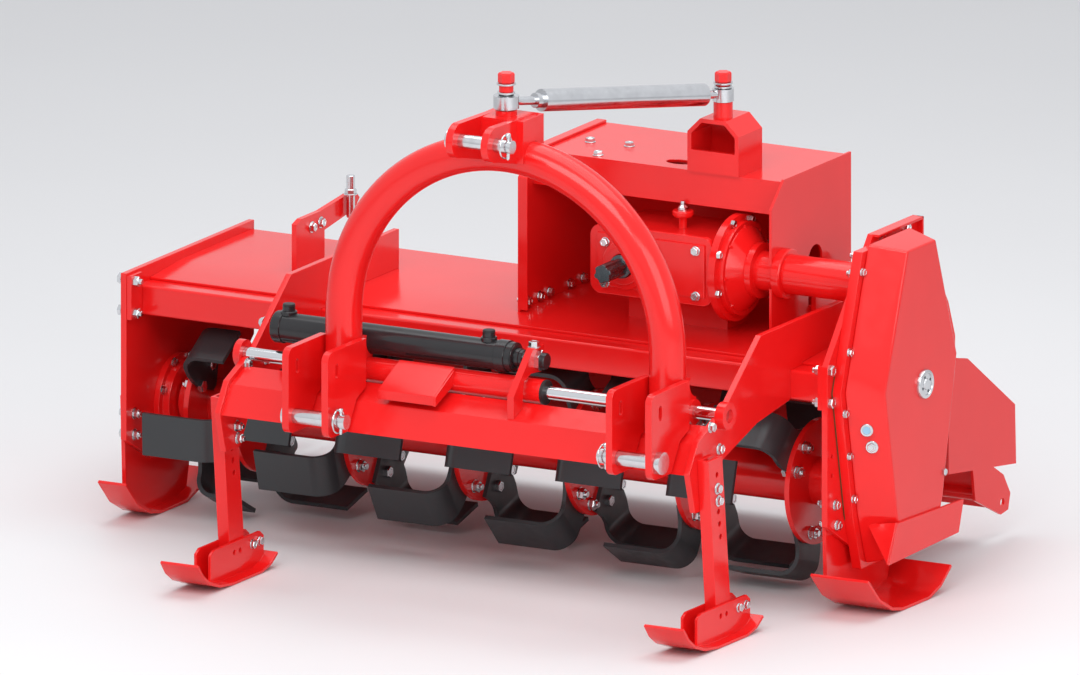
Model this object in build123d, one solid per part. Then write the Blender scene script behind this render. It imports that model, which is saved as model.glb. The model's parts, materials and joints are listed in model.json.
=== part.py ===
from build123d import *
import math
import os

# Rotary tiller with a hydraulic side-shift hitch. Millimetres, +Z up, -Y towards the tractor.
# X runs along the rotor towards the gear case. The pieces are made with the hitch centred on
# X = 0 and the skids on Z = 0, and move_to_origin then centres the machine's footprint.
# Outlines of plates across the machine are lists of (y, z) corners.

# ---- gaps and plate thicknesses ---------------------------------------------------------
SEAT = 0.3            # gap between a curved piece and its seat
RUN = 0.05            # radial running gap of a shaft or rod in its bore
PASS = 6.0            # gap to a piece that moves past
SHEET = 5.0           # hood, housing and rear board
PLATE = 12.0          # side plates and end plates
CLEVIS_T = 14.0
SKID_T = 6.0
SKID_LEG_W = 24.0     # width of a front skid's leg

# ---- rotor --------------------------------------------------------------------------------
ROTOR_Y = 600.0
ROTOR_Z = 203.0
BLADE_R = 195.0       # tip circle radius
ROTOR_TUBE_R = 44.5
JOURNAL_R = 25.0
BEARING_CAP_R = 58.0
FLANGE_R = 118.0
FLANGE_T = 10.0
FLANGE_PITCH = 233.4
FLANGE_LAST_X = 407.0
FLANGE_COUNT = 6      # at the full pitch, with one more at the left end
FLANGE_END_X = -862.0
BLADE_T = 8.0
BLADE_BAND = 80.0     # width of the bar that a blade is forged from
BLADE_REACH = 148.0   # length of its wing along the rotor
BLADE_END_REACH = 88.0
BLADE_BEND = 34.0
BLADE_LEAN = 24.0     # offset of its wing from the line through the rotor's axis
BLADE_CURVE_R = 65.6  # radius of the curve of its shank at the knee

# ---- main frame ---------------------------------------------------------------------------
LEFT_X = -960.0       # outer face of the left side plate
RIGHT_X = 532.0       # outer face of the right side plate
SIDE_FRONT_Y = 412.0
SIDE_BACK_Y = 898.0
SIDE_LOW_Z = 160.0
SIDE_TOP_Z = 476.0
TUBE_SIZE = 56.0
TUBE_WALL = 5.0
TUBE_Y = 456.0        # its front face
TUBE_Z = 446.0        # its top face
HOOD_Z = 461.0        # top of the hood's flat
HOOD_FOLD_Y = 622.0
HOOD_BACK_Y = 887.0
HOOD_START_Y = 502.0

# ---- gearbox and its housing --------------------------------------------------------------
HOUSE_LEFT_X = -211.0
HOUSE_RIGHT_X = 325.0
HOUSE_FRONT_Y = 572.0
HOUSE_LIP_Y = 620.0
HOUSE_BACK_Y = 874.0
HOUSE_Z = 755.0
HOUSE_CUT = 48.0      # chamfer at the front top corner
HOUSE_LIP = 65.0
HOUSE_FLANGE = 20.0
DRIVE_Y = 612.0       # cross shaft, from the gearbox to the gear case
DRIVE_Z = 585.0
DRIVE_TUBE_R = 37.0
SHAFT_X = 41.0
SHAFT_R = 17.5
SHAFT_END_Y = 440.0
SHAFT_STEP_Y = 508.0  # where its splines end at the collar
SHAFT_COLLAR_R = 22.0
SHAFT_HUB_R = 36.0
GEARBOX_LEFT_X = -35.0
GEARBOX_RIGHT_X = 223.0
GEARBOX_FRONT_Y = 530.0
GEARBOX_BACK_Y = 704.0
GEARBOX_LOW_Z = 526.0
GEARBOX_TOP_Z = 655.0
GEARBOX_FLANGE_R = 100.0

# ---- gear case ----------------------------------------------------------------------------
CASE_RIM_X = 552.0    # where the cover meets the case
CASE_FACE_X = 623.0

# ---- end plates and cross beam ------------------------------------------------------------
HITCH_HALF = 341.5    # half the distance between the lower link pins
STROKE = 150.0        # side shift, towards -X
END_LEFT_ROOM = 81.5  # from a clevis's middle at full stroke to the outer face of the left end plate
END_RIGHT_ROOM = 88.5
END_LEFT_X = -HITCH_HALF - STROKE - END_LEFT_ROOM
END_RIGHT_X = HITCH_HALF + END_RIGHT_ROOM
END_TOP_Z = 535.0
BEAM_T = 8.0
BEAM_REAR = (168.0, 398.0)
BEAM_FOLD = (113.0, 375.0)
BEAM_LOW = (80.0, 323.0)

# ---- side-shift hitch ---------------------------------------------------------------------
ARCH_Y = 148.0
ARCH_R = 34.3         # radius of the arch's tube
ARCH_CROWN_Z = 871.5  # middle line of the tube at the top of the arch
ARCH_BEND_Z = ARCH_CROWN_Z - HITCH_HALF
CLEVIS_LOW_Z = 325.0
CLEVIS_TOP_Z = 487.0
CLEVIS_BACK_Y = 145.0
SLOT_R = 6.0          # slot in a clevis plate for a stabiliser
SLOT_Y = 34.0
SLOT_Z = 448.0
SLOT_RISE = 16.0
PIN_R = 14.0
PIN_Y = 25.0
PIN_Z = 356.0
TOP_PIN_R = 12.7
TOP_PIN_Y = 31.0
TOP_PIN_Z = 917.0
EAR_HALF = 30.0       # from the middle to the inner face of an ear
EAR_T = 14.0
EAR_R = 33.0
ROD_R = 12.5          # chrome slide rod
ROD_Y = 192.0
ROD_Z = 416.0
SLEEVE_R = 23.5
SLEEVE_RIGHT_X = 58.0

# ---- hydraulic cylinder -------------------------------------------------------------------
CYL_R = 28.0
CYL_Y = 210.0
CYL_Z = 470.0
CYL_LEFT_X = -518.0
CYL_RIGHT_X = -13.0
CYL_ROD_R = 12.5
CYL_GLAND = 22.0
LUG_X = 20.0
LUG_T = 14.0

# ---- upper stay ---------------------------------------------------------------------------
STAY_FRONT = (0.0, 150.0, 970.0)
STAY_REAR = (185.0, 640.0, 902.0)
STAY_R = 21.0
STAY_ROD_R = 14.0
EYE_R = 20.0
EYE_T = 24.0
EYE_GAP = 1.0         # under the rear eye, which tilts a little as it turns
BALL_GAP = 0.6        # radial gap in the rear eye
OPEN_GAP = 5.0        # radial gap in the front eye
OPEN_LIFT = 3.0       # under the front eye
BOLT_R = 9.0
CAP_R = 16.0

# ---- rear board ---------------------------------------------------------------------------
BOARD_HINGE_Y = 900.0
BOARD_HINGE_Z = 440.0
BOARD_LOW_Y = 1060.0
BOARD_LOW_Z = 70.0
BOARD_ROD_R = 9.0
BOARD_FOLD = (960.0, 250.0)
KNUCKLE_R = 15.0
KNUCKLE_W = 14.0
KNUCKLES = [-880.0, -450.0, 0.0, 440.0]


def plate_x(outline, x0, x1):
    """Flat plate between two X planes, from an outline of (y, z) corners."""
    wire = Polyline(*[(x0, y, z) for y, z in outline], close=True)
    return extrude(make_face(wire), amount=x1 - x0, dir=(1, 0, 0))


def plate_y(outline, y0, y1):
    """Flat plate between two Y planes, from an outline of (x, z) corners."""
    wire = Polyline(*[(x, y0, z) for x, z in outline], close=True)
    return extrude(make_face(wire), amount=y1 - y0, dir=(0, 1, 0))


def box(x0, x1, y0, y1, z0, z1):
    """Box from its lowest and highest corners."""
    middle = ((x0 + x1) / 2, (y0 + y1) / 2, (z0 + z1) / 2)
    return Pos(*middle) * Box(x1 - x0, y1 - y0, z1 - z0)


def rod_x(radius, x0, x1, y, z):
    """Round bar along X."""
    return Pos((x0 + x1) / 2, y, z) * Rot(0, 90, 0) * Cylinder(radius, x1 - x0)


def rod_y(radius, y0, y1, x, z):
    """Round bar along Y."""
    return Pos(x, (y0 + y1) / 2, z) * Rot(90, 0, 0) * Cylinder(radius, y1 - y0)


def rod_z(radius, z0, z1, x, y):
    """Round bar along Z."""
    return Pos(x, y, (z0 + z1) / 2) * Cylinder(radius, z1 - z0)


def rod_between(radius, start, end):
    """Round bar from one point to another."""
    axis = Vector(*end) - Vector(*start)
    return extrude(Plane(origin=start, z_dir=axis) * Circle(radius), amount=axis.length)


def offset_line(points, distance):
    """Moves a line of (y, z) points to its left by a distance, with mitred corners."""
    normals = []
    for (y0, z0), (y1, z1) in zip(points, points[1:]):
        length = math.dist((y0, z0), (y1, z1))
        normals.append((-(z1 - z0) / length, (y1 - y0) / length))
    moved = []
    for i, (y, z) in enumerate(points):
        near = normals[max(i - 1, 0):i + 1]
        ny = sum(n[0] for n in near) / len(near)
        nz = sum(n[1] for n in near) / len(near)
        scale = distance / (ny * ny + nz * nz)
        moved.append((y + ny * scale, z + nz * scale))
    return moved


def pair(left, right):
    """Two like pieces in one node."""
    return Compound(children=[left, right])


def strip_x(points, thickness, x0, x1):
    """Bent sheet: a line of (y, z) points thickened to its left and drawn out along X."""
    return plate_x(points + offset_line(points, thickness)[::-1], x0, x1)


def height_on(line, y):
    """Height of a rising line of (y, z) points at a given y."""
    for (y0, z0), (y1, z1) in zip(line, line[1:]):
        if y <= y1:
            break
    return z0 + (y - y0) * (z1 - z0) / (y1 - y0)


# ---- main frame ---------------------------------------------------------------------------
HOOD_LINE = [(HOOD_START_Y, TUBE_Z + SHEET), (HOOD_FOLD_Y, HOOD_Z), (HOOD_BACK_Y, HOOD_Z)]


def front_tube():
    """Square tube across the front of the hood."""
    x0 = LEFT_X + PLATE
    x1 = RIGHT_X - PLATE
    z0 = TUBE_Z - TUBE_SIZE
    outer = box(x0, x1, TUBE_Y, TUBE_Y + TUBE_SIZE, z0, TUBE_Z)
    outer = fillet(outer.edges().filter_by(Axis.X), TUBE_WALL)
    inner = box(x0, x1, TUBE_Y + TUBE_WALL, TUBE_Y + TUBE_SIZE - TUBE_WALL, z0 + TUBE_WALL, TUBE_Z - TUBE_WALL)
    return outer - inner


def hood():
    """Folded sheet over the rotor, lying on the tube."""
    return strip_x(HOOD_LINE[::-1], SHEET, LEFT_X + PLATE, RIGHT_X - PLATE)


def side_outline():
    """Outline of a side plate."""
    return [(SIDE_FRONT_Y, SIDE_LOW_Z), (SIDE_FRONT_Y, SIDE_TOP_Z), (SIDE_BACK_Y, SIDE_TOP_Z),
            (SIDE_BACK_Y, SIDE_LOW_Z + 100), (ROTOR_Y + 160, SIDE_LOW_Z - 20),
            (ROTOR_Y + 90, SIDE_LOW_Z - 55), (ROTOR_Y - 90, SIDE_LOW_Z - 55)]


def side_plate_left():
    """Left side plate with a flange along its top."""
    plate = plate_x(side_outline(), LEFT_X, LEFT_X + PLATE)
    return plate - rod_x(BEARING_CAP_R + SEAT, LEFT_X, LEFT_X + PLATE, ROTOR_Y, ROTOR_Z)


def ear_outline():
    """Outline of the right side plate: it rises behind the gear case."""
    return [(SIDE_FRONT_Y, 168), (SIDE_FRONT_Y, 472), (586, 688), (757, 688),
            (775, 650), (872, 500), (SIDE_BACK_Y, 430), (SIDE_BACK_Y - 4, 300),
            (ROTOR_Y + 250, 210), (ROTOR_Y + 120, 84), (ROTOR_Y - 50, 84)]


def side_plate_right():
    """Right side plate that carries the gear case."""
    x0 = RIGHT_X - PLATE
    plate = plate_x(ear_outline(), x0, RIGHT_X)
    plate -= rod_x(BEARING_CAP_R + SEAT, x0, RIGHT_X, ROTOR_Y, ROTOR_Z)
    return plate - rod_x(DRIVE_TUBE_R + SEAT, x0, RIGHT_X, DRIVE_Y, DRIVE_Z)


def rotor_bearing():
    """Stepped bearing housing in the left side plate."""
    inside = LEFT_X + PLATE
    # columns: radius, first x, last x
    steps = [(BEARING_CAP_R, LEFT_X - 14, inside), (85, inside, inside + 12), (72, inside + 12, inside + 26)]
    body = Part()
    for radius, x0, x1 in steps:
        body += rod_x(radius, x0, x1, ROTOR_Y, ROTOR_Z)
    return body - rod_x(JOURNAL_R + RUN, LEFT_X, inside + 26, ROTOR_Y, ROTOR_Z)


# columns: y, z of the corners of the gear case cover's outer face
CASE_FACE = [(555, 673), (467, 420), (513, 179), (545, 96), (655, 96), (687, 179), (741, 441), (661, 673)]


def grown(outline, middle, distance):
    """Outline moved away from a middle point by about a distance."""
    corners = []
    for y, z in outline:
        side = 1 if y > middle else -1
        corners.append((y + side * distance, z))
    top = max(z for y, z in outline)
    low = min(z for y, z in outline)
    return [(y, z + distance * (z == top) * 0.4 - distance * (z == low) * 0.6) for y, z in corners]


def gear_case():
    """Flat body of the gear case, between the side plate and its cover."""
    rim = grown(CASE_FACE, ROTOR_Y + 5, 40)
    body = plate_x(rim, RIGHT_X, CASE_RIM_X)
    return body - rod_x(JOURNAL_R + RUN, RIGHT_X, RIGHT_X + 12, ROTOR_Y, ROTOR_Z)


def gear_case_cover():
    """Bevelled cover of the gear case."""
    rim = grown(CASE_FACE, ROTOR_Y + 5, 26)
    low = make_face(Polyline(*[(CASE_RIM_X, y, z) for y, z in rim], close=True))
    high = make_face(Polyline(*[(CASE_FACE_X, y, z) for y, z in CASE_FACE], close=True))
    return loft([low, high], ruled=True)


def case_guard():
    """Bent guard plate under the gear case cover."""
    outline = [(403, 187), (509, 165), (756, 161), (737, 102), (471, 95)]
    return plate_x(outline, CASE_FACE_X, CASE_FACE_X + 6)


def end_plate(x0):
    """Plate that carries the hitch, from the hood forward to the beam and the skid leg."""
    margin = 10.0
    slope_foot = (205, 423)
    beam = offset_line([BEAM_LOW, BEAM_FOLD, BEAM_REAR], margin)
    front = [beam[0], beam[1]]
    tube_low = TUBE_Z - TUBE_SIZE
    outline = [(752, HOOD_Z), (752, END_TOP_Z), (344, END_TOP_Z), slope_foot] + front[::-1]
    outline += [(94, 250), (150, 250), (200, 330), (330, 372), (TUBE_Y, tube_low), (TUBE_Y, TUBE_Z),
                (HOOD_START_Y, TUBE_Z), (HOOD_START_Y, TUBE_Z + SHEET), (HOOD_FOLD_Y, HOOD_Z)]
    plate = plate_x(outline, x0, x0 + PLATE)
    return plate - rod_x(ROD_R + SEAT, x0, x0 + PLATE, ROD_Y, ROD_Z)


def rod_keeper(x0, x1):
    """Ring that holds an end of the slide rod against its end plate."""
    ring = rod_x(ROD_R + 13, x0, x1, ROD_Y, ROD_Z)
    return ring - rod_x(ROD_R + SEAT, x0, x1, ROD_Y, ROD_Z)


def skid_leg(x0):
    """Channel bar that carries a front skid, bolted to its end plate and open at the back."""
    wall = 6.0
    x1 = x0 + SKID_LEG_W
    outline = [(100, 350), (154, 350), (186, 60), (196, SKID_T), (136, SKID_T), (130, 60)]
    inner = [(100 + wall, 360), (170, 360), (210, 60), (210, 0), (136 + wall, 0), (130 + wall, 60)]
    return plate_x(outline, x0, x1) - plate_x(inner, x0 + wall, x1 - wall)


def front_skid(x0, x1, leg_x):
    """Front skid shoe, turned up at its toe, with two walls that hold its leg."""
    line = [(-45, 62), (-26, 38), (0, 20), (40, 6), (90, 0), (200, 0), (236, 8), (262, 24)]
    shoe = strip_x(line, SKID_T, x0, x1)
    wall = [(48, 6), (48, 62), (62, 70), (236, 70), (250, 60), (250, 18), (234, 9), (200, 2), (90, 2)]
    for wall_x in (leg_x - SKID_T, leg_x + SKID_LEG_W):
        shoe += plate_x(wall, wall_x, wall_x + SKID_T)
    return shoe


SIDE_SKID_LINE = [(385, 80), (430, 34), (480, 8), (520, 0), (620, 0), (665, 14), (706, 44)]


def side_skid(x0, x1):
    """Skid shoe under a side plate, turned up at both ends."""
    return strip_x(SIDE_SKID_LINE, SKID_T, x0, x1)


def side_skid_leg(x0):
    """Upright web that bolts a side skid to its side plate."""
    sole = offset_line(SIDE_SKID_LINE, SKID_T)[1:-1]
    high = ROTOR_Z - BEARING_CAP_R - 7
    outline = sole + [(690, high), (520, high), (505, 240), (425, 240)]
    return plate_x(outline, x0, x0 + 8)


def cross_beam():
    """Folded beam between the two end plates."""
    line = [(BEAM_REAR[0] + 4, 330), BEAM_LOW, BEAM_FOLD, BEAM_REAR][::-1]
    return strip_x(line, BEAM_T, END_LEFT_X + PLATE, END_RIGHT_X - PLATE)


def slide_rod():
    """Chrome rod between the end plates, on which the hitch slides."""
    return rod_x(ROD_R, END_LEFT_X - 8, END_RIGHT_X + 10, ROD_Y, ROD_Z)


def cylinder_lug():
    """Lug on the beam that holds the end of the cylinder's rod, clear of the sleeve."""
    foot = BEAM_FOLD[0] + 4
    outline = [(foot, height_on([BEAM_FOLD, BEAM_REAR], foot)), (150, height_on([BEAM_FOLD, BEAM_REAR], 150)),
               (156, 440), (184, 450), (222, 446), (236, 462), (232, 496), (192, 496), (foot, 420)]
    lug = plate_x(outline, LUG_X, LUG_X + LUG_T)
    lug -= rod_x(SLEEVE_R + PASS, LUG_X, LUG_X + LUG_T, ROD_Y, ROD_Z)
    return lug - rod_x(CYL_ROD_R + SEAT, LUG_X, LUG_X + LUG_T, CYL_Y, CYL_Z)


def cylinder_rod():
    """Rod of the hydraulic cylinder, fixed in the lug by a nut."""
    rod = rod_x(CYL_ROD_R, CYL_RIGHT_X - STROKE - CYL_GLAND, LUG_X + LUG_T + 14, CYL_Y, CYL_Z)
    nut = extrude(Plane(origin=(LUG_X + LUG_T, CYL_Y, CYL_Z), z_dir=(1, 0, 0)) * RegularPolygon(20, 6), amount=10)
    return rod + nut


# ---- gearbox housing ----------------------------------------------------------------------
HOUSE_LINE = [(HOUSE_FRONT_Y, height_on(HOOD_LINE, HOUSE_FRONT_Y)), (HOUSE_FRONT_Y, HOUSE_Z + SHEET - HOUSE_CUT),
              (HOUSE_LIP_Y, HOUSE_Z + SHEET), (HOUSE_BACK_Y, HOUSE_Z + SHEET)]


def house_side(x0):
    """Side plate of the gearbox housing, standing on the hood and a little above the top sheet."""
    return plate_x(HOUSE_LINE + [(HOUSE_BACK_Y, HOOD_Z), (HOOD_FOLD_Y, HOOD_Z)], x0, x0 + SHEET)


def housing_left():
    """Left side plate of the housing with a flange along its front and top edges."""
    flange = strip_x(HOUSE_LINE[::-1], SHEET, HOUSE_LEFT_X, HOUSE_LEFT_X + HOUSE_FLANGE)
    flange -= box(HOUSE_LEFT_X, HOUSE_LEFT_X + HOUSE_FLANGE, 500, HOUSE_FRONT_Y + 10, 0, HOOD_Z)
    flange -= box(HOUSE_LEFT_X + SHEET, HOUSE_LEFT_X + HOUSE_FLANGE, HOUSE_LIP_Y, HOUSE_BACK_Y, 0, HOUSE_Z)
    return house_side(HOUSE_LEFT_X) + flange


def housing_right():
    """Right side plate of the housing, with the slot for the drive tube."""
    x0 = HOUSE_RIGHT_X - SHEET
    slot = rod_x(DRIVE_TUBE_R + 9, x0, HOUSE_RIGHT_X, DRIVE_Y, DRIVE_Z)
    return house_side(x0) - slot


def housing_top():
    """Top sheet of the housing with its front lip and closed back."""
    x0 = HOUSE_LEFT_X + SHEET
    x1 = HOUSE_RIGHT_X - SHEET
    line = [(HOUSE_BACK_Y, HOOD_Z), (HOUSE_BACK_Y, HOUSE_Z), (HOUSE_LIP_Y, HOUSE_Z),
            (HOUSE_LIP_Y, HOUSE_Z - HOUSE_LIP)]
    return strip_x(line, SHEET, x0, x1)


def stay_bracket():
    """Octagonal open bracket on the housing for the rear end of the stay."""
    x, y, z = STAY_REAR
    middle = x - 6
    half = 54.0
    cut = 27.0
    wall = 8.0
    z0 = HOUSE_Z
    z1 = 858.0
    depth = (612.0, 702.0)
    outline = [(middle - half, z0), (middle - half, z1 - cut), (middle - half + cut, z1),
               (middle + half - cut, z1), (middle + half, z1 - cut), (middle + half, z0)]
    inner = [(middle - half + wall, z0), (middle - half + wall, z1 - cut - 3), (middle - half + cut + 3, z1 - wall),
             (middle + half - cut - 3, z1 - wall), (middle + half - wall, z1 - cut - 3), (middle + half - wall, z0)]
    body = plate_y(outline, *depth) - plate_y(inner, *depth)
    body += box(middle - half + wall, middle + half - wall, depth[0], depth[0] + wall, z0, z0 + 42)
    body += rod_z(18, z1 - 1, z - EYE_T / 2 - EYE_GAP, x, y)
    return body - rod_z(BOLT_R + SEAT, z1 - 20, z, x, y)


def gearbox():
    """Cast gearbox with its round side flange, on a foot that stands on the hood."""
    y0 = GEARBOX_FRONT_Y + 14
    body = box(GEARBOX_LEFT_X + 10, GEARBOX_RIGHT_X, y0, GEARBOX_BACK_Y, GEARBOX_LOW_Z, GEARBOX_TOP_Z - 8)
    body = fillet(body.edges().filter_by(Axis.Y), 16)
    body += box(GEARBOX_LEFT_X + 30, GEARBOX_RIGHT_X - 20, HOOD_FOLD_Y + 2, GEARBOX_BACK_Y - 4, HOOD_Z, GEARBOX_LOW_Z + 4)
    # columns: radius, first x, last x
    for radius, x0, x1 in [(GEARBOX_FLANGE_R, GEARBOX_RIGHT_X, GEARBOX_RIGHT_X + 14),
                           (GEARBOX_FLANGE_R - 12, GEARBOX_RIGHT_X + 14, GEARBOX_RIGHT_X + 26),
                           (52, GEARBOX_RIGHT_X + 26, GEARBOX_RIGHT_X + 62)]:
        body += rod_x(radius, x0, x1, DRIVE_Y, DRIVE_Z)
    body -= box(GEARBOX_RIGHT_X - 4, GEARBOX_RIGHT_X + 70, 400, HOOD_FOLD_Y, 0, HOOD_Z + 1)
    return body - rod_y(SHAFT_COLLAR_R + RUN, y0, DRIVE_Y - 40, SHAFT_X, DRIVE_Z)


def gearbox_cover():
    """Bolted front cover of the gearbox with the seal carrier round the input shaft."""
    y0 = GEARBOX_FRONT_Y
    plate = box(GEARBOX_LEFT_X, GEARBOX_RIGHT_X, y0, y0 + 14, GEARBOX_LOW_Z - 2, GEARBOX_TOP_Z)
    plate = fillet(plate.edges().filter_by(Axis.Y), 22)
    plate += rod_y(SHAFT_HUB_R, y0 - 16, y0, SHAFT_X, DRIVE_Z)
    return plate - rod_y(SHAFT_COLLAR_R + RUN, y0 - 16, y0 + 14, SHAFT_X, DRIVE_Z)


def drive_tube():
    """Tube round the cross shaft, from the gearbox to the gear case."""
    return rod_x(DRIVE_TUBE_R, GEARBOX_RIGHT_X + 62, RIGHT_X, DRIVE_Y, DRIVE_Z)


def spring_bracket(x0, front_y):
    """Bracket on the hood with an arm that holds a spring rod of the rear board."""
    outline = [(front_y, HOOD_Z), (front_y, HOOD_Z + 90), (front_y + 20, HOOD_Z + 97), (720, HOOD_Z + 97), (850, HOOD_Z + 110),
               (868, HOOD_Z + 92), (850, HOOD_Z + 74), (735, HOOD_Z + 58), (735, HOOD_Z)]
    return plate_x(outline, x0, x0 + 10)


# ---- hitch --------------------------------------------------------------------------------
def arch():
    """Round tube bent into an arch. The left leg carries the sleeve and the right a bush."""
    low_z = 404.0
    left = (-HITCH_HALF, ARCH_Y, low_z)
    bend_left = (-HITCH_HALF, ARCH_Y, ARCH_BEND_Z)
    bend_right = (HITCH_HALF, ARCH_Y, ARCH_BEND_Z)
    path = Line(left, bend_left)
    path += ThreePointArc(bend_left, (0, ARCH_Y, ARCH_CROWN_Z), bend_right)
    path += Line(bend_right, (HITCH_HALF, ARCH_Y, low_z))
    body = sweep(Plane(origin=left, z_dir=(0, 0, 1)) * Circle(ARCH_R), path=path)
    for side in (-1, 1):
        x0 = side * HITCH_HALF - ARCH_R
        x1 = side * HITCH_HALF + ARCH_R
        body += box(x0 + 6, x1 - 6, ARCH_Y + 20, CYL_Y - 4, ROD_Z + 6, CYL_Z + 12)
        body += rod_x(SLEEVE_R, x0, x1, ROD_Y, ROD_Z)
        body -= rod_x(ROD_R + RUN, x0, x1, ROD_Y, ROD_Z)
        body -= rod_x(CYL_R + SEAT, x0, x1, CYL_Y, CYL_Z)
    return body


def clevis_outline():
    """Outline of a clevis plate: it keeps clear of the beam that it slides past."""
    beam = offset_line([BEAM_LOW, BEAM_FOLD, BEAM_REAR], PASS)
    return [(0, CLEVIS_LOW_Z), (0, CLEVIS_TOP_Z), (CLEVIS_BACK_Y, CLEVIS_TOP_Z),
            (CLEVIS_BACK_Y, height_on(beam[1:], CLEVIS_BACK_Y)), beam[1], (beam[0][0], CLEVIS_LOW_Z)]


def clevis(middle):
    """Two plates on either side of an arch leg, bored for the lower link pin."""
    plates = []
    for side in (-1, 1):
        inner = middle + side * (ARCH_R + SEAT)
        outer = inner + side * CLEVIS_T
        x0, x1 = sorted((inner, outer))
        plate = plate_x(clevis_outline(), x0, x1)
        corners = plate.edges().filter_by(Axis.X).sort_by(Axis.Y)[:2]
        plate = fillet(corners, 18)
        plate -= rod_x(PIN_R + RUN, x0, x1, PIN_Y, PIN_Z)
        plate -= box(x0, x1, SLOT_Y - SLOT_R, SLOT_Y + SLOT_R, SLOT_Z - SLOT_RISE / 2, SLOT_Z + SLOT_RISE / 2)
        for rise in (-SLOT_RISE / 2, SLOT_RISE / 2):
            plate -= rod_x(SLOT_R, x0, x1, SLOT_Y, SLOT_Z + rise)
        plates.append(plate)
    return Compound(children=plates)


def lower_pins():
    """The two lower link pins, with their heads on the outer sides."""
    reach = ARCH_R + SEAT + CLEVIS_T
    pins = []
    for side, head in ((-1, 6), (1, 12)):
        middle = side * HITCH_HALF
        end = middle + side * reach
        tip = middle - side * (reach + 26)
        pin = rod_x(PIN_R, min(end, tip), max(end, tip), PIN_Y, PIN_Z)
        pin += rod_x(PIN_R + 7, min(end, end + side * head), max(end, end + side * head), PIN_Y, PIN_Z)
        pins.append(pin)
    return Compound(children=pins)


def top_bracket():
    """Ears for the top link and the block behind them, on top of the arch."""
    crown_z = ARCH_CROWN_Z + ARCH_R
    shelf_z = STAY_FRONT[2] - EYE_T / 2 - OPEN_LIFT
    block_z = shelf_z - 9
    body = box(-EAR_HALF - EAR_T, EAR_HALF + EAR_T + 14, ARCH_Y - 38, ARCH_Y + 40, crown_z - 40, block_z)
    body += rod_z(EYE_R, block_z, shelf_z, STAY_FRONT[0], STAY_FRONT[1])
    for side in (-1, 1):
        x0 = min(side * EAR_HALF, side * (EAR_HALF + EAR_T))
        outline = [(TOP_PIN_Y, TOP_PIN_Z + EAR_R), (ARCH_Y, block_z), (ARCH_Y, crown_z - 50),
                   (TOP_PIN_Y, TOP_PIN_Z - EAR_R)]
        ear = plate_x(outline, x0, x0 + EAR_T) + rod_x(EAR_R, x0, x0 + EAR_T, TOP_PIN_Y, TOP_PIN_Z)
        body += ear - rod_x(TOP_PIN_R + RUN, x0, x0 + EAR_T, TOP_PIN_Y, TOP_PIN_Z)
    ring = Pos(0, ARCH_Y, ARCH_BEND_Z) * Rot(90, 0, 0) * Torus(HITCH_HALF, ARCH_R + SEAT)
    body -= ring
    solids = body.solids().sort_by(Axis.Z)
    return solids[-1] - rod_z(BOLT_R + SEAT, crown_z, shelf_z, STAY_FRONT[0], STAY_FRONT[1])


def top_pin():
    """Top link pin."""
    reach = EAR_HALF + EAR_T
    pin = rod_x(TOP_PIN_R, -reach, reach + 36, TOP_PIN_Y, TOP_PIN_Z)
    return pin + rod_x(TOP_PIN_R + 7, -reach - 10, -reach, TOP_PIN_Y, TOP_PIN_Z)


def slide_sleeve():
    """Sleeve on the slide rod, from the left leg of the arch."""
    x0 = -HITCH_HALF + ARCH_R
    outer = rod_x(SLEEVE_R, x0, SLEEVE_RIGHT_X, ROD_Y, ROD_Z)
    return outer - rod_x(ROD_R + RUN, x0, SLEEVE_RIGHT_X, ROD_Y, ROD_Z)


def saddle_plate():
    """Sloping guide plate on the sleeve, over the beam."""
    line = [(178, 446), (101, 405)]
    plate = strip_x(line, 9, -241, -125)
    return plate - rod_x(SLEEVE_R + SEAT, -241, -125, ROD_Y, ROD_Z)


def cylinder_barrel():
    """Barrel of the hydraulic cylinder, carried by the left arch leg."""
    barrel = rod_x(CYL_R, CYL_LEFT_X, CYL_RIGHT_X, CYL_Y, CYL_Z)
    gland_x = CYL_RIGHT_X - CYL_GLAND
    barrel -= rod_x(CYL_R - 6, gland_x - STROKE - 20, gland_x, CYL_Y, CYL_Z)
    barrel -= rod_x(CYL_ROD_R + RUN, gland_x, CYL_RIGHT_X, CYL_Y, CYL_Z)
    for x in (-492, -70):
        barrel += rod_z(12, CYL_Z + CYL_R - 5, CYL_Z + CYL_R + 14, x, CYL_Y)
        barrel -= rod_z(6.5, CYL_Z + CYL_R, CYL_Z + CYL_R + 14, x, CYL_Y)
    return barrel


def stay_bolt(point, low_z, gap, rise):
    """Vertical bolt through an eye of the stay, with its washer and cap."""
    x, y, z = point
    top = z + EYE_T / 2 + gap
    body = rod_z(BOLT_R, low_z, top + rise - 4, x, y) + rod_z(CAP_R, top, top + 5, x, y)
    return body + rod_z(CAP_R - 2, top + rise - 20, top + rise, x, y)


# ---- upper stay ---------------------------------------------------------------------------
def stay_point(share):
    """Point on the middle line of the stay, as a share of its length from the rear eye."""
    return tuple(r + share * (f - r) for f, r in zip(STAY_FRONT, STAY_REAR))


def stay_tube():
    """Outer tube of the stay, hinged on the housing bracket."""
    x, y, z = STAY_REAR
    body = rod_z(EYE_R, z - EYE_T / 2, z + EYE_T / 2, x, y)
    body += rod_between(8, stay_point(0.01), stay_point(0.1))
    body += rod_between(STAY_R, stay_point(0.09), stay_point(0.84))
    body -= rod_between(STAY_ROD_R + RUN, stay_point(0.4), stay_point(0.85))
    return body - rod_z(BOLT_R + BALL_GAP, z - EYE_T, z + EYE_T, x, y)


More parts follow.
